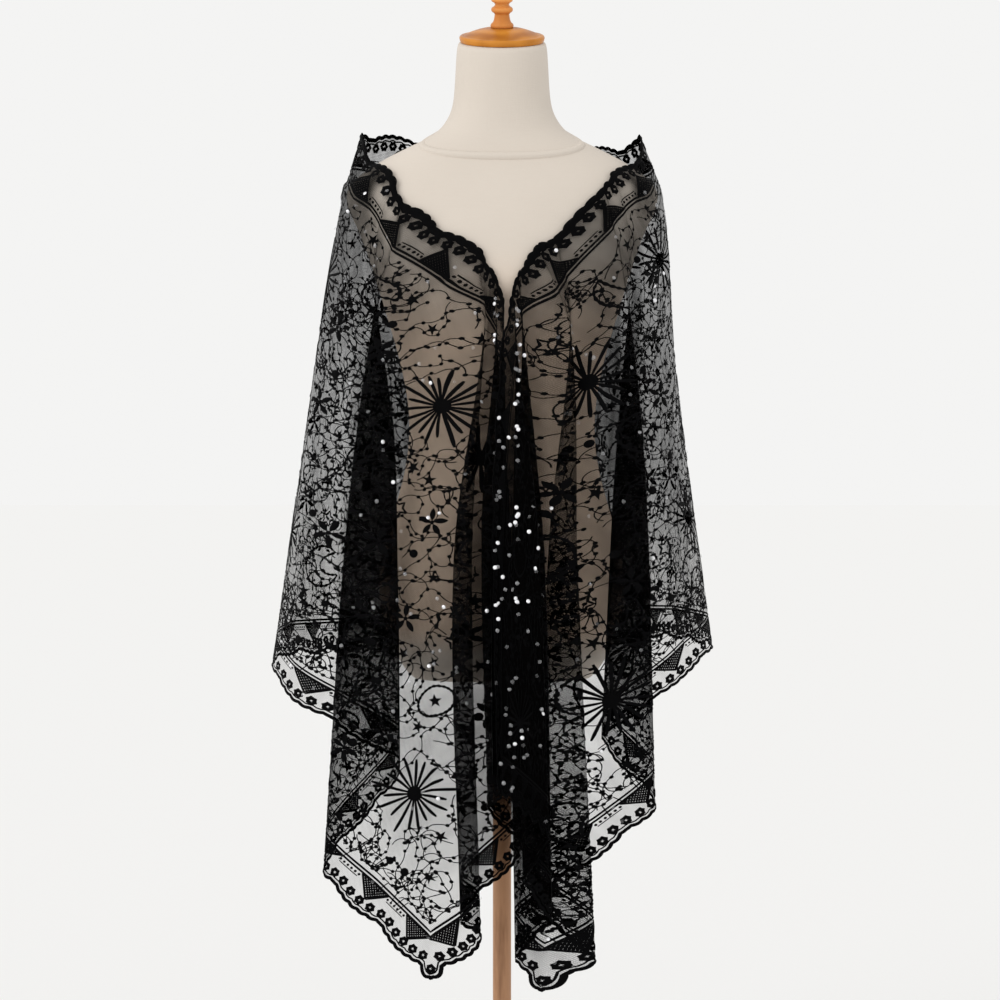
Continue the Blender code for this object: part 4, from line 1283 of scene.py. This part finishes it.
for column in range(TILE_COLUMNS):
    for row in range(TILE_ROWS):
        for kind, x, y, size, turn in TILE:
            if (column + row) % 2:
                x, turn = TILE_S - x, 180.0 - turn
            if row:
                y, turn = TILE_T - y, -turn
            s = (column * TILE_S + x + row * ROW_SHIFT) % (TILE_COLUMNS * TILE_S)
            centre = np.array([s - HALF + FIELD_EDGE, row * TILE_T + y + FIELD_EDGE])
            edge = FIELD_EDGE + size * MOTIF_ROOM
            if abs(centre[0]) < HALF - edge and edge < centre[1] < CUT_WIDTH - edge:
                turned = math.radians(turn + COLUMN_TURN * column)
                motifs.append((kind, centre, size, turned))
print("motifs", len(motifs))

# %% Sunbursts, stars, moons, flowers and discs
BORDER_INSIDE = 46.5
LEAF_SHAPE = np.array([0.15, 0.62, 0.92, 1.0, 0.9, 0.6, 0.12])
SPOKE_SHAPE = np.array([0.55, 0.75, 0.9, 0.95, 1.0, 1.0, 0.6])
SUN_START, SUN_SPOKE, SUN_HEART, SUN_DOME = 6.0, 3.7, 9.0, 1.1
SPOKE_COUNTS = (18, 19, 20, 21)
SPOKE_REACH, SHORT_SPOKE, SPOKE_SWAY, SPOKE_BEND = (0.76, 1.0), 0.88, 0.1, 1.2
CHAIN_WIDTH, CHAIN_SWELL = 3.0, 1.1
# The moon: the shape of its hollow, and the dots' angles, radius and share of its size
MOON_INNER, MOON_DEPTH = 0.98, 0.95
MOON_DOTS, MOON_DOT, DOTS_REACH = np.linspace(1.1, 5.2, 8), 1.8, 0.82
OVAL_SQUASH, OVAL_STAR = 0.72, 0.36
PETAL_COUNTS, PETAL_START, PETAL_WIDTH, FLOWER_KNOT = (5, 5, 6), 2.4, 6.4, 2.6
BUD_REACH, BUD_TURN, BUD_RADIUS = 0.72, 5.3, 5.0
# How far in a star's inner corners are, as a share of its size
SHARP_STAR, MIDDLE_STAR, BLUNT_STAR, OUTLINE_WIDTH = 0.36, 0.42, 0.5, 2.5
suns, small, flowers = Stitches(), Stitches(), Stitches()
draw = random.Random(7)


def placer(centre, size, turn):
    """What turns a motif's own points, evens them and moves them to their place."""
    spin = np.array([[math.cos(turn), -math.sin(turn)], [math.sin(turn), math.cos(turn)]])
    at = even_frame(centre, size)

    def place(shape):
        flat = np.asarray(shape) @ spin.T @ at.T + centre
        flat[:, 0] = np.clip(flat[:, 0], -HALF + BORDER_INSIDE, HALF - BORDER_INSIDE)
        flat[:, 1] = np.clip(flat[:, 1], BORDER_INSIDE, CUT_WIDTH - BORDER_INSIDE)
        return flat

    return place


def star_outline(size, inner):
    spikes = np.arange(10)
    return on_round(spikes / 10 * math.tau, np.where(spikes % 2 == 0, size, size * inner))


def leaf_path(start, length, angle, bend=0.0):
    along = np.linspace(0.0, 1.0, 7)
    x, y = start + along * length, np.sin(along * math.pi) * bend
    return np.stack([x * math.cos(angle) - y * math.sin(angle),
                     x * math.sin(angle) + y * math.cos(angle)], axis=1)


def add_dot(stitches, place, reach, angle, radius, sides, height):
    """A round patch away from the motif's middle."""
    spot = reach * np.array([math.cos(angle), math.sin(angle)])
    stitches.patch(place([spot])[0], place(circle(radius, sides) + spot), height)


def add_chain(path):
    """A closed line of chain stitch, wide and narrow by turns."""
    swell = CHAIN_SWELL * np.cos(np.arange(len(path)) * math.pi)
    small.stroke(path, CHAIN_WIDTH + swell, closed=True)


def add_sun(centre, size, place):
    spokes = draw.choice(SPOKE_COUNTS)
    for spoke in range(spokes):
        angle = math.tau * (spoke + draw.uniform(-SPOKE_SWAY, SPOKE_SWAY)) / spokes
        length = size * draw.uniform(*SPOKE_REACH) * (1.0 if spoke % 2 else SHORT_SPOKE)
        bend = draw.uniform(-SPOKE_BEND, SPOKE_BEND)
        path = leaf_path(SUN_START, length - SUN_START, angle, bend)
        suns.stroke(place(path), SUN_SPOKE * SPOKE_SHAPE)
    suns.patch(centre, place(circle(SUN_HEART, 14)), SUN_DOME)


def add_moon(centre, size, place):
    """A crescent in chain stitch, with dots along its back."""
    outer = circle(size, 44)[4:41]
    middle = (outer[0] + outer[-1]) / 2
    span = np.linalg.norm(outer[0] - outer[-1]) / 2
    lean = unit(middle)
    turns = np.linspace(MOON_INNER, -MOON_INNER, 24) * math.pi / 2
    inner = middle + np.outer(np.sin(turns) * -span, [-lean[1], lean[0]]) \
        - np.outer(np.cos(turns) * size * MOON_DEPTH, lean)
    add_chain(place(np.vstack([outer, inner])))
    for angle in MOON_DOTS:
        add_dot(small, place, DOTS_REACH * size, angle, MOON_DOT, 6, DOT_HEIGHT)


def add_oval(centre, size, place):
    add_chain(place(circle(size, 48, OVAL_SQUASH)))
    small.patch(centre, place(star_outline(size * OVAL_STAR, MIDDLE_STAR)), RING_HEIGHT)


def add_flower(centre, size, place):
    """Five leaves round a knot, or five of six, with a round bud in the sixth's place."""
    petals = draw.choice(PETAL_COUNTS)
    for petal in range(5):
        path = leaf_path(PETAL_START, size, math.tau * petal / petals)
        flowers.stroke(place(path), PETAL_WIDTH * LEAF_SHAPE, DOME)
    if petals == 6:
        add_dot(flowers, place, size * BUD_REACH, BUD_TURN, BUD_RADIUS, 10, STITCH_HEIGHT)
    flowers.patch(centre, place(circle(FLOWER_KNOT, 8)), DOME)


def add_outline(centre, size, place):
    """A star drawn as a line; each of its sides is a stroke of two steps."""
    path = place(star_outline(size, BLUNT_STAR))
    finer = np.stack([path, (path + np.roll(path, -1, axis=0)) / 2], axis=1).reshape(-1, 2)
    small.stroke(finer, OUTLINE_WIDTH, closed=True)


def add_star(centre, size, place):
    small.patch(centre, place(star_outline(size, SHARP_STAR)), DOME)


def add_disc(centre, size, place):
    small.patch(centre, place(circle(size, 12)), DOME)


MAKERS = {"sun": add_sun, "moon": add_moon, "oval": add_oval, "flower": add_flower,
          "star": add_star, "outline": add_outline, "disc": add_disc}
for kind, centre, size, turn in motifs:
    MAKERS[kind](centre, size, placer(centre, size, turn))
sunbursts = suns.piece("sunbursts", satin_black)
stars_and_moons = small.piece("stars_and_moons", satin_black)
leaf_flowers = flowers.piece("leaf_flowers", satin_black)

# %% Wandering vines
VINE_COUNT, VINE_BENDS, VINE_STEP, VINE_WIDTH, VINE_HEIGHT = 1050, 10, 3.6, 1.15, 0.5
VINE_STRETCH, VINE_CURL, VINE_CORNER, VINE_PUSH = (10.0, 24.0), (0.01, 0.11), 1.0, 0.35
VINE_CELL, TAKEN = 26.0, 1000.0
KNOT_RADIUS, KNOT_SIDES = 2.2, 7
KEEP_SHARE = 0.8
big_motifs = [motif for motif in motifs if motif[0] in ("sun", "moon", "oval")]
KEEP_PLACES = np.array([centre for _, centre, _, _ in big_motifs])
KEEP_SIZES = np.array([size * KEEP_SHARE for _, _, size, _ in big_motifs])
FIELD_S = HALF - FIELD_EDGE - 1.0
FIELD_T = (FIELD_EDGE + 1.0, CUT_WIDTH - FIELD_EDGE - 1.0)


def next_step(here, heading):
    """One step of a vine, turned along the rim of a big motif or back from the border."""
    ahead = here + VINE_STEP * np.array([math.cos(heading), math.sin(heading)])
    gaps = np.hypot(*(KEEP_PLACES - ahead).T) - KEEP_SIZES
    close = int(np.argmin(gaps))
    if gaps[close] < 0.0:
        out = unit(ahead - KEEP_PLACES[close])
        around = np.array([-out[1], out[0]])
        way = around * np.sign(np.dot(around, ahead - here) or 1.0) + out * VINE_PUSH
        heading = math.atan2(way[1], way[0])
        ahead = here + VINE_STEP * unit(way)
    if abs(ahead[0]) > FIELD_S:
        heading = math.pi - heading
    if not FIELD_T[0] < ahead[1] < FIELD_T[1]:
        heading = -heading
    return np.clip(ahead, [-FIELD_S, FIELD_T[0]], [FIELD_S, FIELD_T[1]]), heading


def wander(place, heading):
    """A vine of curled stretches that meet at sharp corners, and the corners' places."""
    path, corners = [place], []
    for _ in range(VINE_BENDS):
        curl = draw.choice((-1.0, 1.0)) * draw.uniform(*VINE_CURL)
        for _ in range(int(draw.uniform(*VINE_STRETCH) / VINE_STEP)):
            there, heading = next_step(path[-1], heading + curl * VINE_STEP)
            path.append(there)
        heading += draw.uniform(-VINE_CORNER, VINE_CORNER)
        corners.append(path[-1])
    return np.array(path), corners


# Each vine starts in the emptiest cell of the field, so they cover it evenly
cell_s, cell_t = np.meshgrid(np.arange(-FIELD_S, FIELD_S, VINE_CELL),
                             np.arange(*FIELD_T, VINE_CELL), indexing="ij")
cell_middles = np.stack([cell_s, cell_t], axis=-1) + VINE_CELL / 2
crowd = np.zeros(cell_s.shape)
for middle, size in zip(KEEP_PLACES, KEEP_SIZES):
    crowd[np.hypot(*np.moveaxis(cell_middles - middle, -1, 0)) < size] = TAKEN
vines, knots = [Stitches(), Stitches()], Stitches()
for _ in range(VINE_COUNT):
    column, row = divmod(int(np.argmin(crowd)), crowd.shape[1])
    shift = np.array([draw.uniform(-0.5, 0.5), draw.uniform(-0.5, 0.5)])
    begin = cell_middles[column, row] + VINE_CELL * shift
    path, corners = wander(begin, draw.uniform(0.0, math.tau))
    cells = ((path - [-FIELD_S, FIELD_T[0]]) / VINE_CELL).astype(int)
    np.add.at(crowd, tuple(np.clip(cells, 0, np.array(crowd.shape) - 1).T), 1.0)
    vines[int(begin[0] > 0.0)].stroke(path, VINE_WIDTH, VINE_HEIGHT)
    for corner in corners:
        knots.patch(corner, corner + circle(KNOT_RADIUS, KNOT_SIDES))
vines_left = vines[0].piece("vines_left", satin_black)
vines_right = vines[1].piece("vines_right", satin_black)
vine_knots = knots.piece("vine_knots", satin_black)

# %% [markdown]
# ## Sequins
# Clear cupped discs, 4 to 5 mm across. A random share of them is drawn opaque and pale
# as painted glints, the others are nearly clear and hardly seen, so each has its own value
# in the attribute "sparkle".
# A few are strewn over the whole cut. On the front they lie almost only in two
# narrow runs, one down each side of the opening, where the photograph shows them.

# %% Places for the sequins
FIELD_SEQUINS, FRONT_SEQUINS = 480, 1300
EDGE_ROOM, FRONT_S, FRONT_T, FRONT_CROWDING, FACING = 12.0, 500.0, 300.0, 1.7, 0.55
# Where the runs hang, in millimetres: the middle and half the width across, and the
# lowest and highest place; a small share of the others stays too
RUNS, RUN_HALF, RUN_ENDS, STRAY_SHARE = (-6.0, 17.0), 2.6, (775.0, 1185.0), 0.045
draw_many = np.random.default_rng(11)


def on_cut(count, s_least, t_most, crowding):
    """Random places of the flat cut, on both halves, crowded towards s_least."""
    side = draw_many.choice([-1.0, 1.0], count)
    s = side * (s_least + (HALF - EDGE_ROOM - s_least) * draw_many.random(count) ** crowding)
    return np.stack([s, draw_many.uniform(EDGE_ROOM, t_most, count)], axis=1)


def facing_out(flat):
    u, w = find_on_cloth(flat[:, 0], flat[:, 1])
    return unit(read_grid(NORMALS, u, w))


front = on_cut(FRONT_SEQUINS, FRONT_S, FRONT_T, FRONT_CROWDING)
front = front[np.abs(facing_out(front)[:, 1]) > FACING]
hung = hang(front)
in_run = ((np.abs(hung[:, :1] - RUNS).min(axis=1) < RUN_HALF)
          & (hung[:, 2] > RUN_ENDS[0]) & (hung[:, 2] < RUN_ENDS[1]))
front = front[in_run | (draw_many.random(len(front)) < STRAY_SHARE)]
spots = np.vstack([on_cut(FIELD_SEQUINS, 0.0, CUT_WIDTH - EDGE_ROOM, 1.0), front])
print("sequins in the field and on the front", FIELD_SEQUINS, len(front))

# %% Sequins sewn on
SEQUIN_RADIUS, SEQUIN_CUP, SEQUIN_FLOOR, SEQUIN_SIDES = 2.4, 0.9, 0.6, 10
SEQUIN_LIFT, SEQUIN_TILT = 1.5, 0.3
# Painted glints: a random share of the discs is drawn opaque and pale, whichever way it faces
FIELD_FLASH, FRONT_FLASH, DULL_SHARE = 0.1, 0.5, (0.05, 0.3)
flash_share = np.where(np.arange(len(spots)) < FIELD_SEQUINS, FIELD_FLASH, FRONT_FLASH)
painted_glints = flash_share > draw_many.random(len(spots))
sparkle = np.where(painted_glints, 1.0, draw_many.uniform(*DULL_SHARE, len(spots)))
upward = unit(facing_out(spots) + draw_many.normal(0.0, SEQUIN_TILT, (len(spots), 3)))
across = unit(np.cross(upward, [0.0, 0.0, 1.0]))
along = np.cross(upward, across)
disc = np.vstack([circle(SEQUIN_RADIUS, SEQUIN_SIDES),
                  circle(SEQUIN_RADIUS * SEQUIN_FLOOR, SEQUIN_SIDES), [[0.0, 0.0]]])
rise = np.repeat([0.0, SEQUIN_CUP, SEQUIN_CUP], [SEQUIN_SIDES, SEQUIN_SIDES, 1])
points = (hang(spots, SEQUIN_LIFT)[:, None] + disc[None, :, :1] * across[:, None]
          + disc[None, :, 1:] * along[:, None] + rise[None, :, None] * upward[:, None])
first = np.arange(SEQUIN_SIDES)
then = np.roll(first, -1)
middle = np.full(SEQUIN_SIDES, 2 * SEQUIN_SIDES)
walls = np.stack([first, then, then + SEQUIN_SIDES, first + SEQUIN_SIDES], axis=1).tolist()
crown = np.stack([first + SEQUIN_SIDES, then + SEQUIN_SIDES, middle], axis=1).tolist()
faces = [[corner + place * len(disc) for corner in face]
         for place in range(len(spots)) for face in walls + crown]
sequins = cloth_mesh("sequins", points.reshape(-1, 3), faces, np.tile(disc, (len(spots), 1)),
                     clear_disc, sparkle=np.repeat(sparkle, len(disc)))

# %% [markdown]
# ## The pieces' triangles
# The triangles of every shown mesh are counted and printed.

shown = [piece for piece in bpy.context.scene.objects
         if piece.type == "MESH" and not piece.hide_render]
triangles = {piece.name: sum(len(face.vertices) - 2 for face in piece.data.polygons)
             for piece in shown}
print("triangles", triangles, "in all", sum(triangles.values()))

# %% [markdown]
# ## Sizes and the end
# Both boxes, the CAD one and the visual one, are kept together, and the visual one is printed.
# The visual model may stand only a little proud of the CAD box, so both are kept.

# %% The sizes and the end
size = {"cad": [list(corner) for corner in CAD_BOX],
        "visual": [list(corner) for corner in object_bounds()]}
print("visual box", size["visual"])
